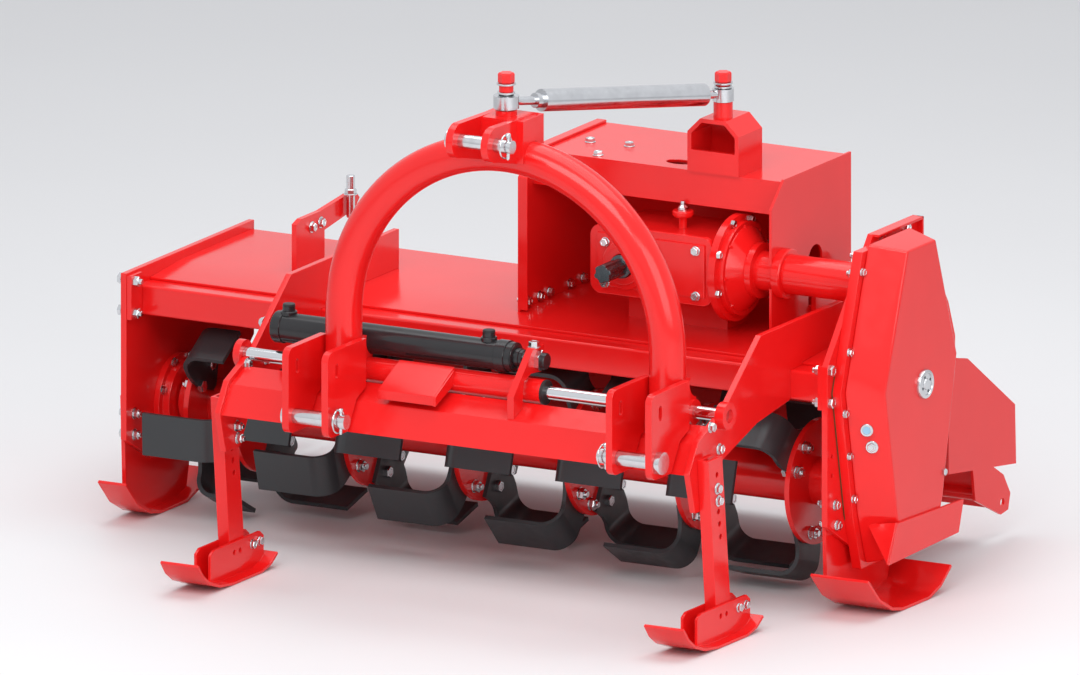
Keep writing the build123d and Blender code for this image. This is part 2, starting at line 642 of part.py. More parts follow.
def stay_rod():
    """Inner rod of the stay with its front eye, whose bore is wide."""
    x, y, z = STAY_FRONT
    body = rod_z(EYE_R + 4, z - EYE_T / 2, z + EYE_T / 2, x, y)
    body += rod_between(STAY_ROD_R, stay_point(0.6), stay_point(0.87))
    body += rod_between(8, stay_point(0.85), stay_point(0.97))
    return body - rod_z(BOLT_R + OPEN_GAP, z - EYE_T, z + EYE_T, x, y)


# ---- rotor --------------------------------------------------------------------------------
FLANGES = [FLANGE_END_X] + [FLANGE_LAST_X - FLANGE_PITCH * i for i in reversed(range(FLANGE_COUNT))]


def rotor_tube():
    """Rotor tube with its flanges and end journals."""
    inside = LEFT_X + PLATE + 30
    tube = rod_x(ROTOR_TUBE_R, inside, RIGHT_X - PLATE - 8, ROTOR_Y, ROTOR_Z)
    tube += rod_x(JOURNAL_R, LEFT_X + 2, RIGHT_X + 10, ROTOR_Y, ROTOR_Z)
    for x in FLANGES:
        tube += rod_x(FLANGE_R, x - FLANGE_T / 2, x + FLANGE_T / 2, ROTOR_Y, ROTOR_Z)
    return tube


def bar_outline(middle_line, width):
    """Outline of a bar with a given width about a line of (y, z) points, square at its ends."""
    left = offset_line(middle_line, width / 2)
    return left + offset_line(middle_line, -width / 2)[::-1]


def blade(side, reach):
    """One blade on the rotor's axis: a bar that curves from its root, with its end turned along the rotor."""
    x0 = side * (FLANGE_T + BLADE_T) / 2
    root_r = ROTOR_TUBE_R + 24
    half = BLADE_BAND / 2
    top = math.sqrt(BLADE_R ** 2 - (half + BLADE_LEAN) ** 2) - BLADE_T / 2
    knee_r = top - BLADE_BEND
    steps = 6
    line = []
    for i in range(steps + 1):
        share = i / steps
        from_knee = (knee_r - root_r) * (1 - share)
        line.append((from_knee ** 2 / (2 * BLADE_CURVE_R), knee_r - from_knee))
    shank = plate_x(bar_outline(line, BLADE_BAND), x0 - BLADE_T / 2, x0 + BLADE_T / 2)
    knee = (x0, 0, knee_r - 4)
    bend_start = (x0, 0, knee_r)
    middle = (x0 + side * BLADE_BEND * 0.293, 0, top - BLADE_BEND * 0.293)
    turn = (x0 + side * BLADE_BEND, 0, top)
    path = Line(knee, bend_start)
    path += ThreePointArc(bend_start, middle, turn)
    path += Line(turn, (x0 + side * reach, 0, top))
    wing = sweep(Plane(origin=knee, z_dir=(0, 0, 1)) * Rectangle(BLADE_T, BLADE_BAND), path=path)
    shape = Rot(-math.degrees(math.atan2(BLADE_LEAN, top)), 0, 0) * Pos(0, -BLADE_LEAN, 0) * (shank + wing)
    return shape - rod_x(ROTOR_TUBE_R + 1, x0 - BLADE_T, x0 + BLADE_T, 0, 0)


# columns: turn of the blades on a flange's left side and on its right side, in degrees
BLADE_TURNS = [(None, 160), (99, 202), (113, 202), (127, 202), (141, 202), (155, 202), (169, None)]


def blades():
    """All the blades, three to a side of each flange."""
    solids = []
    for x, turns in zip(FLANGES, BLADE_TURNS):
        for side, first in zip((-1, 1), turns):
            if first is None:
                continue
            shape = blade(side, BLADE_REACH if x > FLANGES[0] else BLADE_END_REACH)
            for third in range(3):
                solids.append(Pos(x, ROTOR_Y, ROTOR_Z) * Rot(first + 120 * third, 0, 0) * shape)
    return Compound(children=solids)


# ---- rear board and input shaft -----------------------------------------------------------
def rear_board():
    """Board behind the rotor, hinged on the back of the hood."""
    x0 = LEFT_X + PLATE + 8
    x1 = RIGHT_X - PLATE - 8
    line = [(BOARD_LOW_Y, BOARD_LOW_Z), BOARD_FOLD, (BOARD_HINGE_Y + BOARD_ROD_R - 2, BOARD_HINGE_Z)]
    board = strip_x(line, SHEET, x0, x1)
    board += rod_x(12, x0, x1, BOARD_LOW_Y - 24, BOARD_LOW_Z + 26)
    fin = [(940, 376), (980, 367), (1160, 242), (1164, 129), (908, 162), (908, 340)]
    arm = [(1000, 150), (1062, 150), (1116, 118), (1142, 78), (1134, 48), (1106, 44), (1010, 90)]
    for side_x in (x0, x1 - SHEET - 1):
        board += plate_x(fin, side_x, side_x + SHEET + 1)
        board += plate_x(arm, side_x, side_x + SHEET + 1)
        board -= rod_x(8, side_x, side_x + SHEET + 1, 1112, 66)
    for x in KNUCKLES:
        board -= rod_x(KNUCKLE_R + PASS, x - PASS, x + KNUCKLE_W + PASS, BOARD_HINGE_Y, BOARD_HINGE_Z)
    return board + rod_x(BOARD_ROD_R, x0, x1, BOARD_HINGE_Y, BOARD_HINGE_Z)


def board_knuckles():
    """Knuckles under the hood's back edge for the hinge rod of the rear board."""
    knuckles = []
    for x in KNUCKLES:
        lug = box(x, x + KNUCKLE_W, HOOD_BACK_Y - 30, HOOD_BACK_Y, BOARD_HINGE_Z - 4, HOOD_Z - SHEET)
        lug += rod_x(KNUCKLE_R, x, x + KNUCKLE_W, BOARD_HINGE_Y, BOARD_HINGE_Z)
        lug -= box(x, x + KNUCKLE_W, HOOD_BACK_Y, BOARD_HINGE_Y + 20, HOOD_Z - SHEET, HOOD_Z + 20)
        knuckles.append(lug - rod_x(BOARD_ROD_R + RUN, x, x + KNUCKLE_W, BOARD_HINGE_Y, BOARD_HINGE_Z))
    return Compound(children=knuckles)


def input_shaft():
    """Input shaft of the gearbox with its collar, which runs in the seal."""
    collar = rod_y(SHAFT_COLLAR_R, SHAFT_STEP_Y, DRIVE_Y - 45, SHAFT_X, DRIVE_Z)
    return collar + rod_y(SHAFT_R, SHAFT_END_Y, SHAFT_STEP_Y + 5, SHAFT_X, DRIVE_Z)


PARTS = {
    "front_tube": front_tube,
    "hood": hood,
    "side_plate_left": side_plate_left,
    "side_plate_right": side_plate_right,
    "rotor_bearing": rotor_bearing,
    "gear_case": gear_case,
    "gear_case_cover": gear_case_cover,
    "case_guard": case_guard,
    "end_plate_left": lambda: end_plate(END_LEFT_X),
    "end_plate_right": lambda: end_plate(END_RIGHT_X - PLATE),
    "rod_keepers": lambda: pair(rod_keeper(END_LEFT_X - 14, END_LEFT_X), rod_keeper(END_RIGHT_X, END_RIGHT_X + 18)),
    "skid_legs": lambda: pair(skid_leg(END_LEFT_X - SKID_LEG_W), skid_leg(END_RIGHT_X)),
    "front_skid_left": lambda: front_skid(END_LEFT_X - 50, END_LEFT_X + 30, END_LEFT_X - SKID_LEG_W),
    "front_skid_right": lambda: front_skid(END_RIGHT_X - 32, END_RIGHT_X + 52, END_RIGHT_X),
    "side_skid_left": lambda: side_skid(LEFT_X - 34, LEFT_X + 26),
    "side_skid_right": lambda: side_skid(RIGHT_X - PLATE - 10, RIGHT_X + 100),
    "side_skid_legs": lambda: pair(side_skid_leg(LEFT_X - 8), side_skid_leg(RIGHT_X - PLATE - 8)),
    "cross_beam": cross_beam,
    "slide_rod": slide_rod,
    "cylinder_lug": cylinder_lug,
    "cylinder_rod": cylinder_rod,
    "housing_left": housing_left,
    "housing_right": housing_right,
    "housing_top": housing_top,
    "stay_bracket": stay_bracket,
    "stay_bolt_rear": lambda: stay_bolt(STAY_REAR, 846, EYE_GAP, 30),
    "gearbox": gearbox,
    "gearbox_cover": gearbox_cover,
    "drive_tube": drive_tube,
    "board_knuckles": board_knuckles,
    "spring_brackets": lambda: pair(spring_bracket(-719, 628), spring_bracket(360, 660)),
    "arch": arch,
    "clevis_left": lambda: clevis(-HITCH_HALF),
    "clevis_right": lambda: clevis(HITCH_HALF),
    "lower_pins": lower_pins,
    "top_bracket": top_bracket,
    "top_pin": top_pin,
    "slide_sleeve": slide_sleeve,
    "saddle_plate": saddle_plate,
    "cylinder_barrel": cylinder_barrel,
    "stay_bolt_front": lambda: stay_bolt(STAY_FRONT, 915, OPEN_LIFT, 40),
    "stay_tube": stay_tube,
    "stay_rod": stay_rod,
    "rotor_tube": rotor_tube,
    "blades": blades,
    "rear_board": rear_board,
    "input_shaft": input_shaft,
}


def move_to_origin(shapes):
    """Puts the middle of the footprint on the origin and the lowest point at Z = 0."""
    boxes = [shape.bounding_box() for shape in shapes.values()]
    x0, x1 = min(b.min.X for b in boxes), max(b.max.X for b in boxes)
    y0, y1 = min(b.min.Y for b in boxes), max(b.max.Y for b in boxes)
    shift = (-(x0 + x1) / 2, -(y0 + y1) / 2, -min(b.min.Z for b in boxes))
    return {name: Pos(*shift) * shape for name, shape in shapes.items()}, shift


def main():
    os.makedirs("parts", exist_ok=True)
    placed, shift = move_to_origin({name: make() for name, make in PARTS.items()})
    for name, shape in placed.items():
        export_step(shape, f"parts/{name}.step")
    print("shift", shift)


main()
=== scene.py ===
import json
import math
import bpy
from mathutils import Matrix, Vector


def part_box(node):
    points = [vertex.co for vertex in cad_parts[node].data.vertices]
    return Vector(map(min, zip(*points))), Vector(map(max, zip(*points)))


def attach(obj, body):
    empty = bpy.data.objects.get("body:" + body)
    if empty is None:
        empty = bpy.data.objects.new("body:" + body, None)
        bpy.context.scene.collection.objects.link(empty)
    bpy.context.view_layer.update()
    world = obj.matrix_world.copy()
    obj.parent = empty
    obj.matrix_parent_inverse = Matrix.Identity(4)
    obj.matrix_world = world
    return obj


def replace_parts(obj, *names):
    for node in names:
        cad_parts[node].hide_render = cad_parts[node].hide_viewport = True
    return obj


bl_info = {
    "name": "Rotary Tiller Detailer",
    "version": (1, 0, 0),
    "blender": (4, 5, 0),
    "location": "View3D > Sidebar > Tiller",
    "description": "Finishes and fasteners for a rotary tiller with a side-shift hitch",
    "category": "Object",
}

import bmesh
import bpy
from bpy.props import FloatProperty, FloatVectorProperty, PointerProperty
from mathutils import Matrix, Vector

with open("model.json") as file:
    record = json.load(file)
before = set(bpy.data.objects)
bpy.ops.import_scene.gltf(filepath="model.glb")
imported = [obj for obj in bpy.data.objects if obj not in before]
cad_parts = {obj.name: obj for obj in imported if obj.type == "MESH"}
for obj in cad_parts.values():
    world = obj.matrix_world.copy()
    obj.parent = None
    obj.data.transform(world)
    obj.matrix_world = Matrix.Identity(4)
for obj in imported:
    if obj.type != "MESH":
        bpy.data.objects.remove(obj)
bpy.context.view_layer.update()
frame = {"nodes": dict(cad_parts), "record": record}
NODES = frame["nodes"]
BODY_OF = {n: b for b, names in frame["record"]["behaviour"]["bodies"].items() for n in names}
SLOT_OF = {s["node"]: s["material_slot"] for s in frame["record"]["subparts"]}

# The machine's own axes: X from the middle of the hitch, Y from the front of the clevis
# plates, Z from the soles of the skids. Places below are in millimetres on these axes.
ARCH_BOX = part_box("arch")
ORIGIN = Vector(((ARCH_BOX[0].x + ARCH_BOX[1].x) / 2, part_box("clevis_left")[0].y, 0.0))
MM = 0.001
LEFT, RIGHT = Vector((-1, 0, 0)), Vector((1, 0, 0))
FRONT, BACK = Vector((0, -1, 0)), Vector((0, 1, 0))
UP = Vector((0, 0, 1))


def spot(x, y, z):
    """A place on the machine's axes, in millimetres, as a point of the scene in metres."""
    return ORIGIN + Vector((x, y, z)) * MM


def low(node):
    """Lowest corner of a CAD node, in millimetres on the machine's axes."""
    return (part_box(node)[0] - ORIGIN) / MM


def high(node):
    """Highest corner of a CAD node, in millimetres on the machine's axes."""
    return (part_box(node)[1] - ORIGIN) / MM


def middle(node):
    """Middle of a CAD node's box, in millimetres on the machine's axes."""
    return [(a + b) / 2 for a, b in zip(low(node), high(node))]


# Faces and middle lines of the CAD pieces that the details stand on
PLATE_LEFT_OUT = low("side_plate_left").x
PLATE_LEFT_IN = high("side_plate_left").x
PLATE_RIGHT_IN = low("side_plate_right").x
PLATE_RIGHT_OUT = high("side_plate_right").x
END_LEFT_OUT, END_LEFT_IN = low("end_plate_left").x, high("end_plate_left").x
END_RIGHT_IN, END_RIGHT_OUT = low("end_plate_right").x, high("end_plate_right").x
LEG_LEFT_OUT, LEG_RIGHT_OUT = low("skid_legs").x, high("skid_legs").x
CASE_RIM = high("gear_case").x
CASE_FACE = high("gear_case_cover").x
HOUSE_LEFT_OUT, HOUSE_RIGHT_OUT = low("housing_left").x, high("housing_right").x
HOUSE_TOP = high("housing_top").z
HOOD_TOP = high("hood").z
SHEET = 5.0          # thickness of the housing's sheet
COVER_T = 14.0       # thickness of the gearbox's front cover
COVER_FRONT = high("gearbox_cover").y - COVER_T
ROTOR_Y, ROTOR_Z = middle("rotor_tube")[1:]
DRIVE_Y, DRIVE_Z = middle("drive_tube")[1:]
SHAFT_X = middle("input_shaft")[0]
PIN_Y, PIN_Z = middle("lower_pins")[1:]
TOP_PIN_Y, TOP_PIN_Z = middle("top_pin")[1:]
CYL_Y, CYL_Z = middle("cylinder_rod")[1:]
CYL_R = (high("cylinder_barrel").y - low("cylinder_barrel").y) / 2
ROD_Y, ROD_Z = middle("slide_rod")[1:]


# ---- finishes -----------------------------------------------------------------------------
def new_material(name):
    """Empty node material with a Principled shader; returns it, its nodes and the shader."""
    material = bpy.data.materials.new(name)
    material.use_nodes = True
    tree = material.node_tree
    return material, tree, tree.nodes["Principled BSDF"]


def noise(tree, scale, detail=2.0, roughness=0.5):
    """Noise on Object coordinates."""
    place = tree.nodes.new("ShaderNodeTexCoord")
    texture = tree.nodes.new("ShaderNodeTexNoise")
    texture.inputs["Scale"].default_value = scale
    texture.inputs["Detail"].default_value = detail
    texture.inputs["Roughness"].default_value = roughness
    tree.links.new(place.outputs["Object"], texture.inputs["Vector"])
    return texture.outputs["Fac"]


def spread(tree, value, low_end, high_end, start=0.3, end=0.7):
    """Stretches the part of a value between start and end onto a new range."""
    ramp = tree.nodes.new("ShaderNodeMapRange")
    ramp.inputs["From Min"].default_value = start
    ramp.inputs["From Max"].default_value = end
    ramp.inputs["To Min"].default_value = low_end
    ramp.inputs["To Max"].default_value = high_end
    tree.links.new(value, ramp.inputs["Value"])
    return ramp.outputs["Result"]


def two_colours(tree, value, first, second):
    """Mixes two colours by a value."""
    mix = tree.nodes.new("ShaderNodeMix")
    mix.data_type = "RGBA"
    mix.inputs["A"].default_value = (*first, 1)
    mix.inputs["B"].default_value = (*second, 1)
    tree.links.new(value, mix.inputs["Factor"])
    return mix.outputs["Result"]


def bump(tree, height, strength, distance):
    """Bump on the shader's normal."""
    node = tree.nodes.new("ShaderNodeBump")
    node.inputs["Strength"].default_value = strength
    node.inputs["Distance"].default_value = distance
    tree.links.new(height, node.inputs["Height"])
    return node.outputs["Normal"]


def painted(name, colour, roughness=0.16, peel=0.012):
    """Sprayed enamel: a faint orange peel, small changes of shade, and a high gloss."""
    material, tree, shader = new_material(name)
    link = tree.links.new
    deep = tuple(c * 0.93 for c in colour)
    shade = spread(tree, noise(tree, 5, 3), 0, 1)
    link(two_colours(tree, shade, colour, deep), shader.inputs["Base Color"])
    gloss = spread(tree, noise(tree, 45, 2), roughness * 0.85, roughness * 1.25)
    link(gloss, shader.inputs["Roughness"])
    link(bump(tree, noise(tree, 90, 0), peel, 0.0006), shader.inputs["Normal"])
    return material


def steel(name, colour, roughness, grain=300, strength=0.03, shade=0.88):
    """Bare or plated metal with a fine grain."""
    material, tree, shader = new_material(name)
    link = tree.links.new
    dull = tuple(c * shade for c in colour)
    wear = spread(tree, noise(tree, 40, 3), 0, 1)
    link(two_colours(tree, wear, colour, dull), shader.inputs["Base Color"])
    gloss = spread(tree, noise(tree, 120, 2), roughness * 0.85, roughness * 1.2)
    link(gloss, shader.inputs["Roughness"])
    link(bump(tree, noise(tree, grain, 1), strength, 0.0002), shader.inputs["Normal"])
    shader.inputs["Metallic"].default_value = 1.0
    return material


def finishes(settings):
    """Every finish of the machine, made once and shared."""
    if "tiller_red_enamel" not in bpy.data.materials:
        painted("tiller_red_enamel", tuple(settings.body_colour))
        painted("tiller_black_enamel", tuple(settings.cylinder_colour), 0.2)
        painted("tiller_blade_paint", tuple(settings.blade_colour), 0.34)
        painted("tiller_dark_rubber", (0.012, 0.012, 0.013), 0.5)
        painted("tiller_seal", (0.085, 0.050, 0.012), 0.55)
        painted("tiller_sight_glass", (0.30, 0.55, 0.72), 0.06, 0.002)
        steel("tiller_chrome", (0.76, 0.77, 0.79), 0.07, 200, 0.002, 0.97)
        steel("tiller_zinc", (0.70, 0.71, 0.73), 0.20)
        steel("tiller_dark_steel", (0.10, 0.12, 0.13), 0.28)
    return bpy.data.materials


FINISH_OF_SLOT = {
    "red_paint": "tiller_red_enamel", "black_paint": "tiller_black_enamel",
    "blade_steel": "tiller_blade_paint", "chrome": "tiller_chrome", "zinc": "tiller_zinc"}


# ---- modelling ----------------------------------------------------------------------------
def alone(obj):
    """Makes one object the only selected and active one."""
    bpy.ops.object.select_all(action="DESELECT")
    obj.select_set(True)
    bpy.context.view_layer.objects.active = obj


def settle(piece):
    """Puts an object's place and size into its mesh."""
    alone(piece)
    bpy.ops.object.transform_apply(location=True, rotation=True, scale=True)
    return piece


def pick(piece, test, kind="FACE"):
    """Opens edit mode with the faces, edges or corners that pass a test selected."""
    alone(piece)
    bpy.ops.object.mode_set(mode="EDIT")
    bpy.ops.mesh.select_mode(type=kind)
    bpy.ops.mesh.select_all(action="DESELECT")
    mesh = bmesh.from_edit_mesh(piece.data)
    for item in {"FACE": mesh.faces, "EDGE": mesh.edges, "VERT": mesh.verts}[kind]:
        if test(item):
            item.select_set(True)
    mesh.select_flush_mode()
    bmesh.update_edit_mesh(piece.data)


def leave_edit():
    """Goes back to object mode."""
    bpy.ops.object.mode_set(mode="OBJECT")


def modified(piece, kind, **settings):
    """Adds a modifier and applies it."""
    alone(piece)
    modifier = piece.modifiers.new(kind.lower(), kind)
    for key, value in settings.items():
        setattr(modifier, key, value)
    bpy.ops.object.modifier_apply(modifier=modifier.name)
    return piece


def broken_edges(piece, width, segments=2, angle=32):
    """Rounds every edge sharper than an angle, by a width in millimetres."""
    return modified(piece, "BEVEL", width=width * MM, segments=segments, limit_method="ANGLE",
                    angle_limit=math.radians(angle), use_clamp_overlap=True)


def turned(profile, sides=32):
    """Round piece on +Z: a disc drawn out through (radius, height) steps, in millimetres."""
    radius, height = profile[0]
    bpy.ops.object.select_all(action="DESELECT")
    bpy.ops.mesh.primitive_circle_add(vertices=sides, radius=radius * MM, fill_type="NGON",
                                      location=(0, 0, height * MM))
    piece = settle(bpy.context.object)
    pick(piece, lambda face: True)
    for next_radius, next_height in profile[1:]:
        step = (0, 0, (next_height - height) * MM)
        bpy.ops.mesh.extrude_region_move(TRANSFORM_OT_translate={"value": step})
        ratio = next_radius / radius
        bpy.ops.transform.resize(value=(ratio, ratio, 1), center_override=(0, 0, next_height * MM))
        radius, height = next_radius, next_height
    bpy.ops.mesh.select_all(action="SELECT")
    bpy.ops.mesh.normals_make_consistent(inside=False)
    leave_edit()
    return piece


def block(size, middle, round_edges=0.8):
    """Block of a size about a middle, in millimetres, with its edges broken."""
    bpy.ops.object.select_all(action="DESELECT")
    bpy.ops.mesh.primitive_cube_add(size=1, location=spot(*middle))
    piece = bpy.context.object
    piece.scale = [s * MM for s in size]
    return broken_edges(settle(piece), round_edges)


def facet(corners):
    """Flat face through the given corners: a disc with as many corners, each moved to its place."""
    bpy.ops.object.select_all(action="DESELECT")
    bpy.ops.mesh.primitive_circle_add(vertices=len(corners), radius=0.01, fill_type="NGON")
    piece = settle(bpy.context.object)
    for index, corner in enumerate(corners):
        pick(piece, lambda v: v.index == index, "VERT")
        here = bmesh.from_edit_mesh(piece.data).verts
        here.ensure_lookup_table()
        bpy.ops.transform.translate(value=spot(*corner) - here[index].co)
        leave_edit()
    return piece


def plate(outline, start, end, axis="X", round_edges=0.8):
    """Flat plate drawn from a closed outline, its corners placed one by one, between two places on
    an axis. The outline is (Y, Z) for a plate across X and (X, Z) for one across Y."""
    piece = facet([(start, a, b) if axis == "X" else (a, start, b) for a, b in outline])
    pick(piece, lambda face: True)
    thick = (end - start) * MM
    step = (thick, 0, 0) if axis == "X" else (0, thick, 0)
    bpy.ops.mesh.extrude_region_move(TRANSFORM_OT_translate={"value": step})
    bpy.ops.mesh.select_all(action="SELECT")
    bpy.ops.mesh.normals_make_consistent(inside=False)
    leave_edit()
    return broken_edges(piece, round_edges) if round_edges else piece


def holes(piece, places, radius, reach=40):
    """Round holes along X through a piece at (X, Y, Z) places."""
    drill = turned([(radius, -reach), (radius, reach)], 24)
    return cut(piece, [copies(drill, [(place, RIGHT) for place in places])])


def ring(radius, wire, sides=40):
    """Ring of wire round +Z."""
    bpy.ops.object.select_all(action="DESELECT")
    bpy.ops.mesh.primitive_torus_add(major_segments=sides, minor_segments=10,
                                     major_radius=radius * MM, minor_radius=wire * MM)
    return settle(bpy.context.object)


def joined(parts):
    """Joins objects into the first."""
    bpy.ops.object.select_all(action="DESELECT")
    for part in parts:
        part.select_set(True)
    bpy.context.view_layer.objects.active = parts[0]
    if len(parts) > 1:
        bpy.ops.object.join()
    return parts[0]


def turned_to(direction, turn=0.0):
    """Rotation that takes +Z to a direction, after a turn about +Z."""
    return direction.to_track_quat("Z", "Y").to_matrix().to_4x4() @ Matrix.Rotation(turn, 4, "Z")


def put(piece, place, direction=UP, turn=0.0):
    """Moves a piece that was made on +Z to a place, in its mesh."""
    piece.data.transform(Matrix.Translation(spot(*place)) @ turned_to(direction, turn))
    return piece


TURN_STEP = 0.7      # each copy of a piece stands turned by this much more, in radians


def copies(pattern, places):
    """Copies of a piece made on +Z, one at each (place, direction), joined; the pattern goes."""
    made = []
    for index, (place, direction) in enumerate(places):
        copy = pattern.copy()
        copy.data = pattern.data.copy()
        bpy.context.scene.collection.objects.link(copy)
        put(copy, place, direction, index * TURN_STEP)
        made.append(copy)
    bpy.data.objects.remove(pattern)
    return joined(made)


def around(x, y, z, radius, count, first, direction):
    """Places on a circle across X, the first at an angle in degrees from +Y towards +Z."""
    places = []
    for index in range(count):
        angle = math.radians(first + 360 / count * index)
        places.append(((x, y + radius * math.cos(angle), z + radius * math.sin(angle)), direction))
    return places


def across(x, line, direction):
    """Places at one X, one for each (Y, Z) of a line, facing a direction."""
    return [((x, y, z), direction) for y, z in line]


def complete(piece, name, body="frame", slot="red_paint", finish=None, angle=32):
    """Names a finished piece, gives it its finish, smooths it and lets it ride on its body."""
    piece.name = name
    piece.data.name = name
    alone(piece)
    bpy.ops.object.shade_smooth_by_angle(angle=math.radians(angle))
    modified(piece, "WEIGHTED_NORMAL", keep_sharp=True)
    piece.data.materials.clear()
    piece.data.materials.append(bpy.data.materials[finish or FINISH_OF_SLOT[slot]])
    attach(piece, body)
    return piece


# ---- fasteners, made on +Z with their seat on the origin ----------------------------------
WASHER_T = 1.8       # thickness of a washer


def hex_head(flats, height, washer=None, stub=None):
    """Hexagon head or nut with chamfered corners, on a washer if one is given by its radius."""
    seat = WASHER_T if washer else 0.0
    corner = flats / math.sqrt(3)
    top = seat + height
    head = turned([(corner, seat), (corner, seat + height * 0.84), (flats * 0.5, top),
                   (flats * 0.34, top), (flats * 0.30, top - 0.5)], 6)
    parts = [head]
    if washer:
        parts.append(turned([(washer - 0.4, 0), (washer, 0.4), (washer, WASHER_T - 0.4),
                             (washer - 0.4, WASHER_T)], 28))
    if stub:
        radius, rise = stub
        parts.append(turned([(radius, top - 2), (radius, top + rise - 1), (radius - 1, top + rise)], 16))
    return joined(parts)


def bolts(name, places, flats=15, height=7, washer=10, body="frame"):
    """Bolt heads at the given places, as one piece."""
    return complete(copies(hex_head(flats, height, washer), places), name, body, "zinc")


def nuts(name, places, flats=15, height=9, washer=10, stub=(5, 5), body="frame"):
    """Nuts with the end of their bolt, as one piece."""
    return complete(copies(hex_head(flats, height, washer, stub), places), name, body, "zinc")


def lynch_pin(name, place, body="hitch"):
    """Lynch pin upright through a pin that runs along X, with its wire ring round the pin."""
    shank = turned([(2.0, -25), (3.6, -22), (3.6, 17), (5.4, 18.5), (5.4, 23), (4, 25)], 20)
    loop = ring(22, 1.7)
    loop.data.transform(Matrix.Translation((5 * MM, 0, 0)) @ turned_to(RIGHT))
    return complete(put(joined([shank, loop]), place), name, body, "zinc")


# ---- CAD pieces with their edges broken ---------------------------------------------------
def merged_copy(node):
    """A copy of a CAD node with its loose triangles joined and its flats made whole."""
    piece = NODES[node].copy()
    piece.data = NODES[node].data.copy()
    for key in [k for k in piece.keys() if k.startswith("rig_")]:
        del piece[key]
    piece.parent = None
    piece.matrix_world = Matrix.Identity(4)
    bpy.context.scene.collection.objects.link(piece)
    pick(piece, lambda face: True)
    bpy.ops.mesh.remove_doubles(threshold=0.00002)
    bpy.ops.mesh.dissolve_limited(angle_limit=math.radians(0.6))
    leave_edit()
    return piece


def cut(piece, cutters):
    """Cuts round or long holes out of a piece."""
    tool = joined(cutters)
    modified(piece, "BOOLEAN", operation="DIFFERENCE", solver="EXACT", object=tool)
    bpy.data.objects.remove(tool)
    return piece


def stand_for(piece, node, finish=None):
    """Lets a piece stand for its CAD node."""
    complete(piece, node + "_finished", BODY_OF[node], SLOT_OF[node], finish)
    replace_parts(piece, node)
    return piece


# ---- settings -----------------------------------------------------------------------------
class TILLER_PG_finish(bpy.types.PropertyGroup):
    """Colours of the machine and the rounding of its plates."""
    body_colour: FloatVectorProperty(
        name="Body", description="Enamel of the frame and hitch", subtype="COLOR",
        default=(0.84, 0.012, 0.012))
    cylinder_colour: FloatVectorProperty(
        name="Cylinder", description="Enamel of the cylinder barrel", subtype="COLOR",
        default=(0.018, 0.018, 0.020))
    blade_colour: FloatVectorProperty(
        name="Blades", description="Paint of the rotor blades", subtype="COLOR",
        default=(0.030, 0.033, 0.036))
    edge: FloatProperty(
        name="Plate edge", description="Rounding of cut plate edges, in millimetres",
        default=1.1, min=0.2, max=3)


class TILLER_PG_fasteners(bpy.types.PropertyGroup):
    """Sizes of the bolts and nuts, across the flats, in millimetres."""
    large: FloatProperty(
        name="Large", description="Flats of the frame bolts", default=19, min=10, max=30)
    medium: FloatProperty(
        name="Medium", description="Flats of the housing bolts", default=15, min=8, max=24)
    small: FloatProperty(
        name="Small", description="Flats of the cover and bearing bolts", default=12, min=6, max=20)


class TILLER_PG_stage(bpy.types.PropertyGroup):
    """Floor and camera."""
    floor_colour: FloatVectorProperty(
        name="Floor", description="Colour of the floor", subtype="COLOR", default=(0.80, 0.80, 0.81))
    azimuth: FloatProperty(
        name="Azimuth", description="Camera turn", subtype="ANGLE", default=math.radians(29.1))
    elevation: FloatProperty(
        name="Elevation", description="Camera tilt", subtype="ANGLE", default=math.radians(13.6))
    width: FloatProperty(
        name="View width", description="Width of the view", unit="LENGTH", default=1.992)


# Rounding of the pieces that aren't plain plate, in millimetres
SOFT_EDGES = {
    "gearbox_cover": 2.5, "gear_case_cover": 5.0, "top_bracket": 1.6, "rotor_bearing": 1.4,
    "stay_tube": 2.0, "stay_rod": 2.0, "front_skid_left": 1.4, "front_skid_right": 1.4, "hood": 1.0}
PLAIN_PLATES = (
    "side_plate_left", "side_plate_right", "end_plate_left", "end_plate_right", "side_skid_left",
    "side_skid_right", "clevis_left", "clevis_right", "skid_legs", "saddle_plate", "cylinder_lug",
    "stay_bracket")

# Holes drilled in CAD pieces along X: their places, radius and reach each way, in millimetres
LEG_HOLES = [(0, y, z) for y, z in ((140, 247), (144, 223), (148, 198), (134, 318))]
SKID_HOLE_YS = (138, 160)
SKID_HOLE_Z = 50
DRILLED = {
    "skid_legs": (LEG_HOLES, 5, 700),
    "front_skid_left": ([(LEG_LEFT_OUT, y, SKID_HOLE_Z) for y in SKID_HOLE_YS], 4.5, 60),
    "front_skid_right": ([(LEG_RIGHT_OUT, y, SKID_HOLE_Z) for y in SKID_HOLE_YS], 4.5, 60),
    "side_plate_right": ([(PLATE_RIGHT_OUT, 430, z) for z in (299, 263)], 4, 40)}

# Bolts whose places, as (Y, Z) or as Y alone, come again on both sides of the machine
LEG_BOLTS = ((134, 292), (138, 268))
SHOE_BOLTS = ((204, 52), (231, 52))
BASE_BOLT_YS = (599, 645, 682, 760, 810)

# Widths and thicknesses of CAD pieces that bolts go through
LEG_W = 24.0         # width of a front skid's leg
SHOE_WALL = 6.0      # thickness of the two walls of a front skid that hold its leg
WEB_T = 8.0          # thickness of the upright web of a side skid


